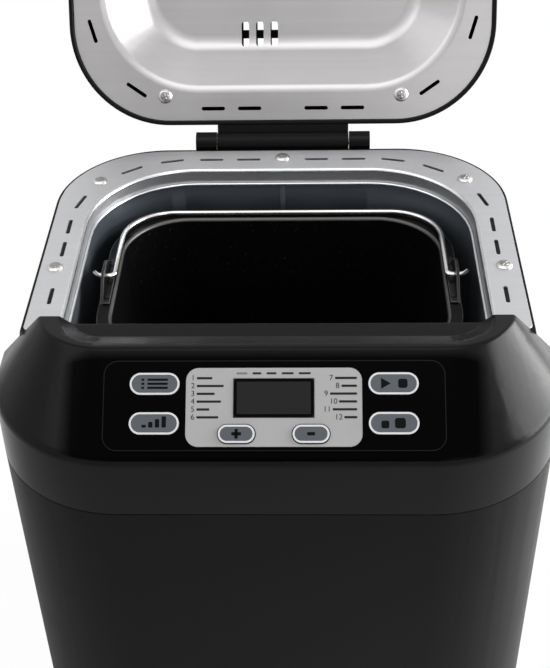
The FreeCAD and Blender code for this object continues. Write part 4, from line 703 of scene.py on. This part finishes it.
@dataclass
class Casing:
    """The two housings, the base, the feet and the cord's entry."""

    seam: float = 196.0 * MM
    foot: float = 11.5 * MM
    crest_low: float = DECK + 1.5 * MM
    crest_front: float = AXIS_Y - 95.5 * MM
    crest_rear: float = AXIS_Y - 60.0 * MM

    def build(self) -> None:
        """Dress the casing."""
        ends = SoftEdge(0.5 * MM, at_height(self.seam, self.foot))
        dressed("lower_housing", TUB, edges=[ends], smooth=24.0)
        dressed(
            "upper_housing",
            CASE,
            edges=[SoftEdge(0.5 * MM, at_height(self.seam)), SoftEdge(1.1 * MM, self.crest, 4)],
            smooth=26.0,
        )
        dressed("base_plate", TUB)
        dressed("rubber_feet", RUBBER, edges=[SoftEdge(1.0 * MM, at_height(0.0), 3)])
        dressed("cord_gland", RUBBER, edges=eased(0.4, 2, 50.0))
        screw = PanHeadScrew()
        low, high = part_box("base_screws")
        places = [
            Matrix.Translation((x, y, low.z + screw.rise)) @ OVER
            for x in (low.x + screw.radius, high.x - screw.radius)
            for y in (low.y + screw.radius, high.y - screw.radius)
        ]
        carried(screw.row("base_screw_heads", places), "machine", "base_screws", slot="bright_screw")

    def crest(self, edge: Edge) -> bool:
        """Pick the ridge, the trough's border and the ears of the console."""
        spot = middle(edge)
        return spot.z > self.crest_low and self.crest_front < spot.y < self.crest_rear


@dataclass
class Mouth:
    """The plan of the oven's mouth and the bead along its collar."""

    half: float = 90.6 * MM
    rear: float = 66.3 * MM
    front: float = 62.0 * MM
    rear_corner: float = 48.0 * MM
    front_corner: float = 5.0 * MM
    bead: float = 0.75 * MM
    collar_foot: float = DECK - 7.8 * MM

    def border(self, point: Vector, slack: float = 0.4 * MM) -> bool:
        """Tell whether a point lies on the mouth's border, seen from above."""
        x, y = abs(point.x), point.y - AXIS_Y
        for reach, corner, sign in ((self.rear, self.rear_corner, 1), (self.front, self.front_corner, -1)):
            across, along = x - (self.half - corner), sign * y - (reach - corner)
            if across > 0 and along > 0:
                return abs(math.hypot(across, along) - corner) < slack
        return abs(x - self.half) < slack or abs(y - self.rear) < slack or abs(y + self.front) < slack

    def beading(self) -> Piece:
        """Build the rolled bead along the collar's lower edge."""
        mesh = bmesh.new()
        start = Vector((self.rear_corner - self.half, AXIS_Y + self.rear - self.bead, self.collar_foot))
        stand = Matrix.Translation(start) @ Matrix.Rotation(math.pi / 2, 4, "Y")
        bmesh.ops.create_circle(mesh, segments=10, radius=self.bead, matrix=stand)
        ring = mesh.edges[:]
        side = self.rear + self.front - self.rear_corner - self.front_corner
        wide = 2 * (self.half - self.rear_corner)
        near = 2 * (self.half - self.front_corner)
        legs = (
            ((wide, 0.0, 0.0), 1, 1),
            ((0.0, -side, 0.0), 1, -1),
            ((-near, 0.0, 0.0), -1, -1),
            ((0.0, side, 0.0), -1, 1),
        )
        for step, across, end in legs:
            ring = self.turn(mesh, self.run(mesh, ring, step), across, end)
        bmesh.ops.remove_doubles(mesh, verts=mesh.verts, dist=2e-5)
        bmesh.ops.recalc_face_normals(mesh, faces=mesh.faces[:])
        return finished(mesh, "collar_rolled_bead", ROLLED_EDGE, smooth=60.0)

    def run(self, mesh: Mesh, ring: list, step: Sequence[float]) -> list:
        """Draw a ring of edges out along a straight run, and give the new ring."""
        made = bmesh.ops.extrude_edge_only(mesh, edges=ring)["geom"]
        verts = of_kind(Vert, made)
        bmesh.ops.translate(mesh, verts=verts, vec=step)
        fresh = set(verts)
        return [e for e in of_kind(Edge, made) if set(e.verts) <= fresh]

    def turn(self, mesh: Mesh, ring: list, side: int, end: int) -> list:
        """Spin a ring of edges a quarter turn clockwise round one corner, and give the new ring."""
        reach, corner = (self.rear, self.rear_corner) if end > 0 else (self.front, self.front_corner)
        centre = (side * (self.half - corner), AXIS_Y + end * (reach - corner), self.collar_foot)
        made = bmesh.ops.spin(
            mesh, geom=ring, cent=centre, axis=(0.0, 0.0, 1.0), angle=-math.pi / 2, steps=12
        )["geom_last"]
        return of_kind(Edge, made)


@dataclass
class Deck:
    """The pressed ring round the oven's mouth, its screws and its rolled bead."""

    mouth: Mouth = field(default_factory=Mouth)
    screws: tuple[tuple[float, float], ...] = (
        (0.0, 78.0), (89.4, 56.3), (-89.4, 56.3), (100.0, -18.0), (-100.0, -18.0)
    )
    rim_x: float = 105.5 * MM
    rim_y: float = 84.0 * MM

    def build(self) -> None:
        """Dress the deck."""
        dressed(
            "deck_plate",
            DECK_SHEET,
            ROLLED_EDGE,
            edges=[SoftEdge(1.5 * MM, self.lip, 4, number=1), SoftEdge(0.3 * MM, self.rim)],
            smooth=40.0,
        )
        carried(self.mouth.beading(), "machine", slot="silver_sheet")
        places = [Matrix.Translation((x * MM, y * MM + AXIS_Y, DECK)) for x, y in self.screws]
        heads = PanHeadScrew().row("deck_screw_heads", places)
        carried(heads, "machine", "deck_screws", slot="bright_screw")

    def lip(self, edge: Edge) -> bool:
        """Pick the ring's inner edge, where it turns down into the collar."""
        return at_height(DECK)(edge) and self.mouth.border(middle(edge))

    def rim(self, edge: Edge) -> bool:
        """Pick the ring's outer edge."""
        spot = middle(edge)
        outer = abs(spot.x) > self.rim_x or spot.y - AXIS_Y > self.rim_y
        return at_height(DECK)(edge) and outer


@dataclass
class Oven:
    """The oven's chamber with its seam, heater, sensor and socket."""

    wall_y: float = AXIS_Y + 67.4 * MM
    seam_width: float = 3.0 * MM
    seam_rise: float = 0.35 * MM
    seam_corner: float = 0.8 * MM
    seam_round: float = 0.2 * MM
    floor: float = 70.0 * MM
    head: float = DECK - 9.0 * MM

    def build(self) -> None:
        """Dress the oven."""
        dressed("oven_chamber", OVEN_SHEET, smooth=30.0)
        carried(self.seam(), "machine", slot="oven_metal")
        dressed("heating_element", SHEATH, smooth=60.0)
        dressed("pan_socket", CAST, edges=eased(0.5))
        dressed("temperature_sensor", SHEATH)
        dressed("heater_saddles", CERAMIC, edges=eased(0.4))
        paint_node(CERAMIC, "heater_collars", "thermal_fuse")

    def seam(self) -> Piece:
        """Build the folded seam down the middle of the rear wall."""
        mesh = panel_face(self.seam_width, self.head - self.floor, self.seam_corner)
        thickened(mesh, self.seam_rise)
        half = 0.5 * self.seam_rise
        upper = [e for e in mesh.edges if all(v.co.z > half for v in e.verts) and e.is_manifold]
        border = [e for e in upper if e.calc_face_angle(0.0) > 0.5]
        bevelled(mesh, border, self.seam_round, 2)
        stand = Matrix.Translation((0.0, self.wall_y, (self.head + self.floor) / 2))
        mesh.transform(stand @ Matrix.Rotation(math.pi / 2, 4, "X"))
        return finished(mesh, "oven_rear_seam", OVEN_SHEET)


class Mark(Enum):
    """The plain sign on a button."""

    LIST = "list"
    STEPS = "steps"
    PLAY = "play"
    WEIGHTS = "weights"
    PLUS = "plus"
    MINUS = "minus"


@dataclass
class Button:
    """One button: its place on the panel, its size and its sign."""

    node: str
    body: str
    x: float
    y: float
    size: tuple[float, float]
    mark: Mark


LARGE_KEY = (19.6 * MM, 8.8 * MM)
SMALL_KEY = (14.4 * MM, 7.2 * MM)


@dataclass
class Panel:
    """The control panel on the console's slope, drawn flat and laid on the slope."""

    rise: float = 29.5 * MM
    run: float = 34.6 * MM
    sheet: float = 0.5 * MM
    lens_top: float = 0.8 * MM
    key_top: float = 1.3 * MM
    ink: float = 0.05 * MM
    ring_band: float = 0.75 * MM
    overlay_width: float = 134.4 * MM
    overlay_top: float = -4.8 * MM
    overlay_bottom: float = -41.2 * MM
    overlay_corner: float = 6.0 * MM
    display_width: float = 31.4 * MM
    display_top: float = -12.4 * MM
    display_bottom: float = -27.7 * MM
    row_first: float = -12.2 * MM
    row_pitch: float = 3.09 * MM
    column: float = 32.4 * MM
    figure_size: float = 3.1 * MM
    figure_drop: float = 0.9 * MM
    figure_width: float = 1.7 * MM
    figure_step: float = 1.4 * MM
    figure_gap: float = 0.6 * MM
    word_height: float = 0.9 * MM
    heading_x: float = -14.6 * MM
    heading_y: float = -10.3 * MM
    heading_gap: float = 2.1 * MM
    heading_height: float = 0.8 * MM
    highlight_inset: float = 0.4 * MM
    highlight_band: float = 0.3 * MM
    frame_inset: float = 0.15 * MM
    frame_corner: float = 1.4 * MM
    frame_band: float = 1.1 * MM
    ring_inset: float = 0.05 * MM
    wedge: float = 2.5 * MM
    wedge_x: float = -3.6 * MM
    word_lengths: tuple[float, ...] = (6.0, 8.5, 5.0, 9.5, 7.0, 10.5)
    heading_lengths: tuple[float, ...] = (4.2, 3.4, 3.8, 4.6, 4.6)
    buttons: tuple[Button, ...] = (
        Button("menu_button", "menu_key", -46.6 * MM, -14.5 * MM, LARGE_KEY, Mark.LIST),
        Button("crust_button", "crust_key", -46.6 * MM, -30.1 * MM, LARGE_KEY, Mark.STEPS),
        Button("start_stop_button", "start_stop_key", 46.6 * MM, -14.5 * MM, LARGE_KEY, Mark.PLAY),
        Button("weight_button", "weight_key", 46.6 * MM, -30.1 * MM, LARGE_KEY, Mark.WEIGHTS),
        Button("plus_button", "plus_key", -14.5 * MM, -34.2 * MM, SMALL_KEY, Mark.PLUS),
        Button("minus_button", "minus_key", 14.5 * MM, -34.2 * MM, SMALL_KEY, Mark.MINUS),
    )

    def slope(self) -> Matrix:
        """Give the panel's place: +Y up the slope, +Z out of it, from the middle of the ridge."""
        lean = math.atan2(self.rise, self.run)
        return Matrix.Translation((0.0, RIDGE_Y, RIDGE_Z)) @ Matrix.Rotation(lean, 4, "X")

    def on_slope(self, x: float, y: float, z: float) -> Matrix:
        """Give a place on the slope."""
        return self.slope() @ Matrix.Translation((x, y, z))

    def above(self, height: float) -> EdgeTest:
        """Give a test for edges that lie at one height over the slope."""
        flat = self.slope().inverted()
        return lambda e: all(abs((flat @ v.co).z - height) < 3e-5 for v in e.verts)

    def build(self) -> None:
        """Dress the panel."""
        sheet, lens = (SoftEdge(0.2 * MM, self.above(top)) for top in (self.sheet, self.lens_top))
        dressed("control_overlay", OVERLAY, edges=[sheet])
        dressed("label_panel", LABEL, edges=[sheet])
        dressed("display_lens", LENS, edges=[lens])
        carried(self.overlay_edge_highlight(), "machine", slot="overlay_black")
        carried(self.display_frame(), "machine", slot="display_dark")
        carried(self.label_print(), "machine", slot="label_grey")
        for button in self.buttons:
            dressed(button.node, KEY, edges=[SoftEdge(0.35 * MM, self.above(self.key_top), 3)])
            carried(self.ring(button), button.body, slot="button_grey")
            carried(self.sign(button), button.body, slot="button_grey")

    def overlay_edge_highlight(self) -> Piece:
        """Build the fine grey line along the overlay's border: a painted highlight on its rounded edge."""
        trim = 2 * self.highlight_inset
        height = self.overlay_top - self.overlay_bottom - trim
        mesh = panel_face(self.overlay_width - trim, height, self.overlay_corner - self.highlight_inset)
        place = self.on_slope(0.0, (self.overlay_top + self.overlay_bottom) / 2, self.sheet)
        return self.band(mesh, self.highlight_band, place, "overlay_border_painted_highlight", OVERLAY_EDGE_HIGHLIGHT)

    def display_frame(self) -> Piece:
        """Build the black border of the display."""
        trim = 2 * self.frame_inset
        height = self.display_top - self.display_bottom - trim
        mesh = panel_face(self.display_width - trim, height, self.frame_corner)
        place = self.on_slope(0.0, (self.display_top + self.display_bottom) / 2, self.lens_top)
        return self.band(mesh, self.frame_band, place, "display_border", LENS_FRAME)

    def band(self, mesh: Mesh, width: float, place: Matrix, name: str, finish: Finish) -> Piece:
        """Build a printed band along the border of a flat shape, which is used up."""
        hollowed(mesh, width)
        thickened(mesh, self.ink)
        mesh.transform(place)
        return finished(mesh, name, finish)

    def figure(self, text: str) -> Mesh:
        """Draw a plain number with a little thickness, from the origin to the right."""
        curve = bpy.data.curves.new("figure", "FONT")
        curve.body = text
        curve.size = self.figure_size
        curve.extrude = self.ink / 2
        holder = bpy.data.objects.new("figure", curve)
        data = bpy.data.meshes.new_from_object(holder)
        mesh = bmesh.new()
        mesh.from_mesh(data)
        bpy.data.objects.remove(holder)
        bpy.data.curves.remove(curve)
        bpy.data.meshes.remove(data)
        return mesh

    def bar(self, width: float, height: float) -> Mesh:
        """Draw a printed bar with softened corners."""
        mesh = panel_face(width, height, 0.25 * min(width, height))
        thickened(mesh, self.ink)
        return mesh

    def label_print(self) -> Piece:
        """Build the label's print: two columns of numbers with bars, and a heading of bars."""
        mesh = bmesh.new()
        for number in range(12):
            left = number < 6
            y = self.row_first - (number % 6) * self.row_pitch
            word = self.word_lengths[(5 * number + number // 6) % 6] * MM
            digits = self.figure_width + (self.figure_step if number > 8 else 0.0) + self.figure_gap
            start = -self.column if left else self.column - word - digits
            spot = self.on_slope(start, y - self.figure_drop, self.sheet)
            added(mesh, self.figure(str(number + 1)), spot)
            spot = self.on_slope(start + digits + word / 2, y, self.sheet)
            added(mesh, self.bar(word, self.word_height), spot)
        x = self.heading_x
        for place, length in enumerate(self.heading_lengths):
            width = length * MM
            spot = self.on_slope(x + width / 2, self.heading_y, self.sheet)
            added(mesh, self.bar(width, self.heading_height), spot, int(place == 0))
            x += width + self.heading_gap
        return finished(mesh, "label_print", LABEL_INK, LABEL_FAINT)

    def ring(self, button: Button) -> Piece:
        """Build the pale outline along a button's border."""
        mesh = pill_face(*(side - 2 * self.ring_inset for side in button.size))
        place = self.on_slope(button.x, button.y, self.key_top)
        return self.band(mesh, self.ring_band, place, button.node + "_outline", KEY_RING)

    def sign(self, button: Button) -> Piece:
        """Build the dark sign on a button."""
        mesh = bmesh.new()
        for x, y, width, height in self.strokes(button.mark):
            place = self.on_slope(button.x + x * MM, button.y + y * MM, self.key_top)
            added(mesh, self.bar(width * MM, height * MM), place)
        if button.mark is Mark.PLAY:
            wedge = bmesh.new()
            turn = Matrix.Rotation(-math.pi / 2, 4, "Z")
            bmesh.ops.create_circle(wedge, cap_ends=True, segments=3, radius=self.wedge, matrix=turn)
            thickened(wedge, self.ink)
            added(mesh, wedge, self.on_slope(button.x + self.wedge_x, button.y, self.key_top))
        return finished(mesh, button.node + "_sign", KEY_MARK)

    @staticmethod
    def strokes(mark: Mark) -> list[tuple[float, float, float, float]]:
        """Give a sign's bars: middle, width and height of each, in millimetres."""
        rows = (-1.6, 0.0, 1.6)
        return {
            Mark.LIST: [(x, y, width, 0.9) for x, width in ((1.2, 8.0), (-4.6, 1.1)) for y in rows],
            Mark.STEPS: [(2.6 * n - 3.9, 0.55 * n - 1.1, 1.7, 1.1 + 1.1 * n) for n in range(4)],
            Mark.PLAY: [(3.6, 0.0, 3.6, 3.6)],
            Mark.WEIGHTS: [(-3.4, -0.5, 3.0, 3.0), (2.4, 0.0, 4.2, 4.0)],
            Mark.PLUS: [(0.0, 0.0, 3.8, 1.3), (0.0, 0.0, 1.3, 3.8)],
            Mark.MINUS: [(0.0, 0.0, 3.0, 1.3)],
        }[mark]


@dataclass
class Lid:
    """The lid, drawn closed and swung open about its hinge."""

    hinge_y: float = AXIS_Y + 93.6 * MM
    open_angle: float = 115.0
    liner: float = DECK + 3.0 * MM
    foot: float = DECK + 1.0 * MM
    screw_x: float = 60.2 * MM
    screw_y: tuple[float, ...] = (70.0 * MM, -54.0 * MM)
    dish_half: float = 91.2 * MM
    dish_front: float = -46.2 * MM
    dish_rear: float = 66.9 * MM
    wall_angle: float = math.radians(70.0)

    def swing(self) -> Matrix:
        """Give the turn from closed to open."""
        hinge = Vector((0.0, self.hinge_y, DECK))
        turn = Matrix.Rotation(-math.radians(self.open_angle), 4, "X")
        return Matrix.Translation(hinge) @ turn @ Matrix.Translation(-hinge)

    def closed(self, height: float, slack: float = 5e-5) -> EdgeTest:
        """Give a test for edges that lie at one height when the lid is closed."""
        back = self.swing().inverted()
        return lambda e: all(abs((back @ v.co).z - height) < slack for v in e.verts)

    def build(self) -> None:
        """Dress the lid."""
        dressed("lid_shell", LID_CASE, edges=[SoftEdge(0.6 * MM, self.closed(self.foot), 3)], smooth=30.0)
        dressed("lid_liner", LID_SHEET, edges=[SoftEdge(2.4 * MM, self.dish_edge, 5, 20.0)], smooth=30.0)
        places = [
            self.swing() @ Matrix.Translation((x, y + AXIS_Y, self.liner)) @ OVER
            for x in (-self.screw_x, self.screw_x)
            for y in self.screw_y
        ]
        carried(PanHeadScrew().row("lid_screw_heads", places), "lid", "lid_screws", slot="bright_screw")
        dressed("hinge_pins", BRIGHT_SCREW, edges=eased(0.3))

    def dish_edge(self, edge: Edge) -> bool:
        """Pick the edge where the flange turns into the dish."""
        spot = self.swing().inverted() @ middle(edge)
        y = spot.y - AXIS_Y
        slot = edge.calc_face_angle(0.0) > self.wall_angle
        inside = abs(spot.x) < self.dish_half and self.dish_front < y < self.dish_rear
        return self.closed(self.liner)(edge) and inside and not slot


@dataclass
class Pan:
    """The bread pan, its tabs, bail, foot, shaft and paddle."""

    rim: float = DECK - 21.0 * MM
    half: float = 75.8 * MM
    reach: float = 54.0 * MM
    corner: float = 30.0 * MM
    slack: float = 0.6 * MM

    def build(self) -> None:
        """Dress the pan."""
        dressed(
            "bread_pan",
            PAN_COAT,
            PAN_WORN,
            edges=[
                SoftEdge(1.4 * MM, self.mouth, 5, number=1),
                SoftEdge(0.6 * MM, at_height(self.rim), 3, 60.0, number=1),
            ],
            smooth=30.0,
        )
        dressed("pan_tabs", TAB_SHEET, PAN_WORN, edges=eased(0.3, 3, number=1))
        dressed("tab_rivets", TAB_SHEET, edges=eased(0.3))
        dressed("bail_handle", WIRE, smooth=60.0)
        dressed("pan_foot", CAST, edges=eased(0.5))
        dressed("pan_bush", CAST, edges=eased(0.3))
        dressed("pan_shaft", BRIGHT_SCREW, edges=eased(0.4))
        dressed("kneading_paddle", PAN_COAT, edges=eased(0.7, 3, 50.0))
        dressed("wing_coupling", CAST, edges=eased(0.4))

    def mouth(self, edge: Edge) -> bool:
        """Pick the rim's inner edge."""
        spot = middle(edge)
        across = abs(spot.x) - (self.half - self.corner)
        along = abs(spot.y - AXIS_Y) - (self.reach - self.corner)
        outside = math.hypot(max(across, 0.0), max(along, 0.0)) - self.corner
        return at_height(self.rim)(edge) and outside < self.slack


class Works:
    """What lies inside the casing: chassis, drive and electronics."""

    def build(self) -> None:
        """Dress the works."""
        paint_node(ZINC, "chassis_plate", "chassis_posts")
        paint_node(CAST, "bearing_housing")
        paint_node(BRONZE, "drive_bushes")
        paint_node(BRIGHT_SCREW, "drive_shaft", "motor_shaft", "board_screws")
        paint_node(NYLON, "large_pulley", "small_pulley")
        dressed("drive_dog", CAST, edges=eased(0.5))
        paint_node(MOTOR, "motor")
        paint_node(BELT, "drive_belt")
        paint_node(BOARD, "power_board", "control_board")
        paint_node(COMPONENT, "motor_capacitor", "power_board_parts", "key_switches", "display_module")


@dataclass
class Studio:
    """The floor, the light and the camera."""

    eye: Vector = field(default_factory=lambda: Vector((0.01626, AXIS_Y - 0.50106, 0.57280)))
    dip: float = 0.654374
    yaw: float = -0.038592
    roll: float = -0.026691
    focal_pixels: float = 1316.965
    image_height: float = 668.0
    ambient: float = 0.55
    floor_side: float = 8.0
    lamp_aim: float = 0.2

    def build(self) -> None:
        """Set up the studio."""
        self.camera()
        self.world()
        self.floor()
        self.lamp("left_lamp", (-1.1, -0.35, 1.5), 1.0, 4.0)
        self.lamp("front_lamp", (0.0, -0.40, 1.95), 1.1, 6.0)
        self.lamp("right_lamp", (1.25, 0.20, 0.46), 1.2, 50.0)
        self.lamp("front_right_lamp", (0.62, -1.45, 0.85), 0.5, 1.6)
        self.card("camera_side_card", (-0.05, -1.5, 0.80), (0.52, 0.46))
        bpy.context.scene.view_settings.view_transform = "Standard"

    def camera(self) -> None:
        """Place the camera."""
        level = Vector((math.cos(self.yaw), -math.sin(self.yaw), 0.0))
        onward = Vector((math.sin(self.yaw), math.cos(self.yaw), 0.0))
        ahead = onward * math.cos(self.dip) - Vector((0.0, 0.0, math.sin(self.dip)))
        upright = level.cross(ahead)
        right = level * math.cos(self.roll) + upright * math.sin(self.roll)
        up = upright * math.cos(self.roll) - level * math.sin(self.roll)
        data = bpy.data.cameras.new("camera")
        data.sensor_width = 36.0
        data.lens = self.focal_pixels * data.sensor_width / self.image_height
        data.clip_start = 0.01
        camera = placed("camera", data)
        turn = Matrix((right, up, -ahead)).transposed().to_4x4()
        camera.matrix_world = Matrix.Translation(self.eye) @ turn
        bpy.context.scene.camera = camera

    def world(self) -> None:
        """Light the room softly, white where the camera or a reflection sees it."""
        world = bpy.data.worlds.new("studio")
        bpy.context.scene.world = world
        paint = Paint(world)
        seen = self.seen(paint)
        back = paint.node("ShaderNodeBackground", {}, {
            "Color": (1.0, 1.0, 1.0, 1.0),
            "Strength": self.ambient + seen * (1.0 - self.ambient),
        })
        paint.node("ShaderNodeOutputWorld", {}, {"Surface": back})

    @staticmethod
    def seen(paint: Paint) -> Shade:
        """Give 1 for what the camera sees, straight or in gloss and glass."""
        rays = [paint.node("ShaderNodeLightPath", output=name)
                for name in ("Is Camera Ray", "Is Glossy Ray", "Is Transmission Ray")]
        return paint.node("ShaderNodeMath", {"operation": "ADD", "use_clamp": True},
                          {0: rays[0] + rays[1], 1: rays[2]})

    def floor(self) -> None:
        """Lay the pale floor."""
        material = bpy.data.materials.new("floor_pale")
        paint = Paint(material)
        grain = paint.noise(60.0, 3.0)
        pale = paint.node("ShaderNodeBsdfPrincipled", {}, {
            "Base Color": paint.blend(grain, (0.84, 0.84, 0.84), (0.87, 0.87, 0.87)),
            "Roughness": 0.9,
            "Specular IOR Level": 0.0,
        })
        glow = paint.node("ShaderNodeEmission", {}, {"Color": (1.0, 1.0, 1.0, 1.0), "Strength": 1.0})
        seen = paint.node("ShaderNodeLightPath", output="Is Camera Ray")
        shown = paint.node("ShaderNodeMixShader", {}, {0: seen * 0.97, 1: pale, 2: glow})
        paint.node("ShaderNodeOutputMaterial", {}, {"Surface": shown})
        floor = finished(plain_face(self.floor_side, self.floor_side), "floor")
        floor.data.materials.append(material)

    def lamp(self, name: str, place: Sequence[float], size: float, power: float) -> None:
        """Hang a square soft lamp that looks at the machine; its power is in watts."""
        data = bpy.data.lights.new(name, "AREA")
        data.shape = "SQUARE"
        data.size = size
        data.energy = power
        placed(name, data).matrix_world = self.aimed(place, self.lamp_aim, "-Z")

    @staticmethod
    def aimed(place: Sequence[float], height: float, axis: str) -> Matrix:
        """Give a place from which an axis looks at a height above the origin."""
        aim = Vector((0.0, 0.0, height)) - Vector(place)
        return Matrix.Translation(place) @ aim.to_track_quat(axis, "Y").to_matrix().to_4x4()

    def card(self, name: str, place: Sequence[float], size: Sequence[float]) -> None:
        """Stand a dark card, of some width and height, where only reflections see it."""
        mesh = plain_face(*size)
        mesh.transform(self.aimed(place, DECK, "Z"))
        card = finished(mesh, name, Moulded("card_black", (0.02, 0.02, 0.02), 0.9, 0.0))
        card.visible_camera = False
        card.visible_shadow = False
        card.visible_diffuse = False


def main() -> None:
    """Build the machine's looks, piece by piece."""
    logging.basicConfig(level=logging.INFO, format="%(name)s: %(message)s")
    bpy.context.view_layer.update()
    for part in (Casing(), Deck(), Oven(), Panel(), Lid(), Pan(), Works(), Studio()):
        part.build()
        LOG.info("%s is done", type(part).__name__)


if __name__ == "__main__":
    main()
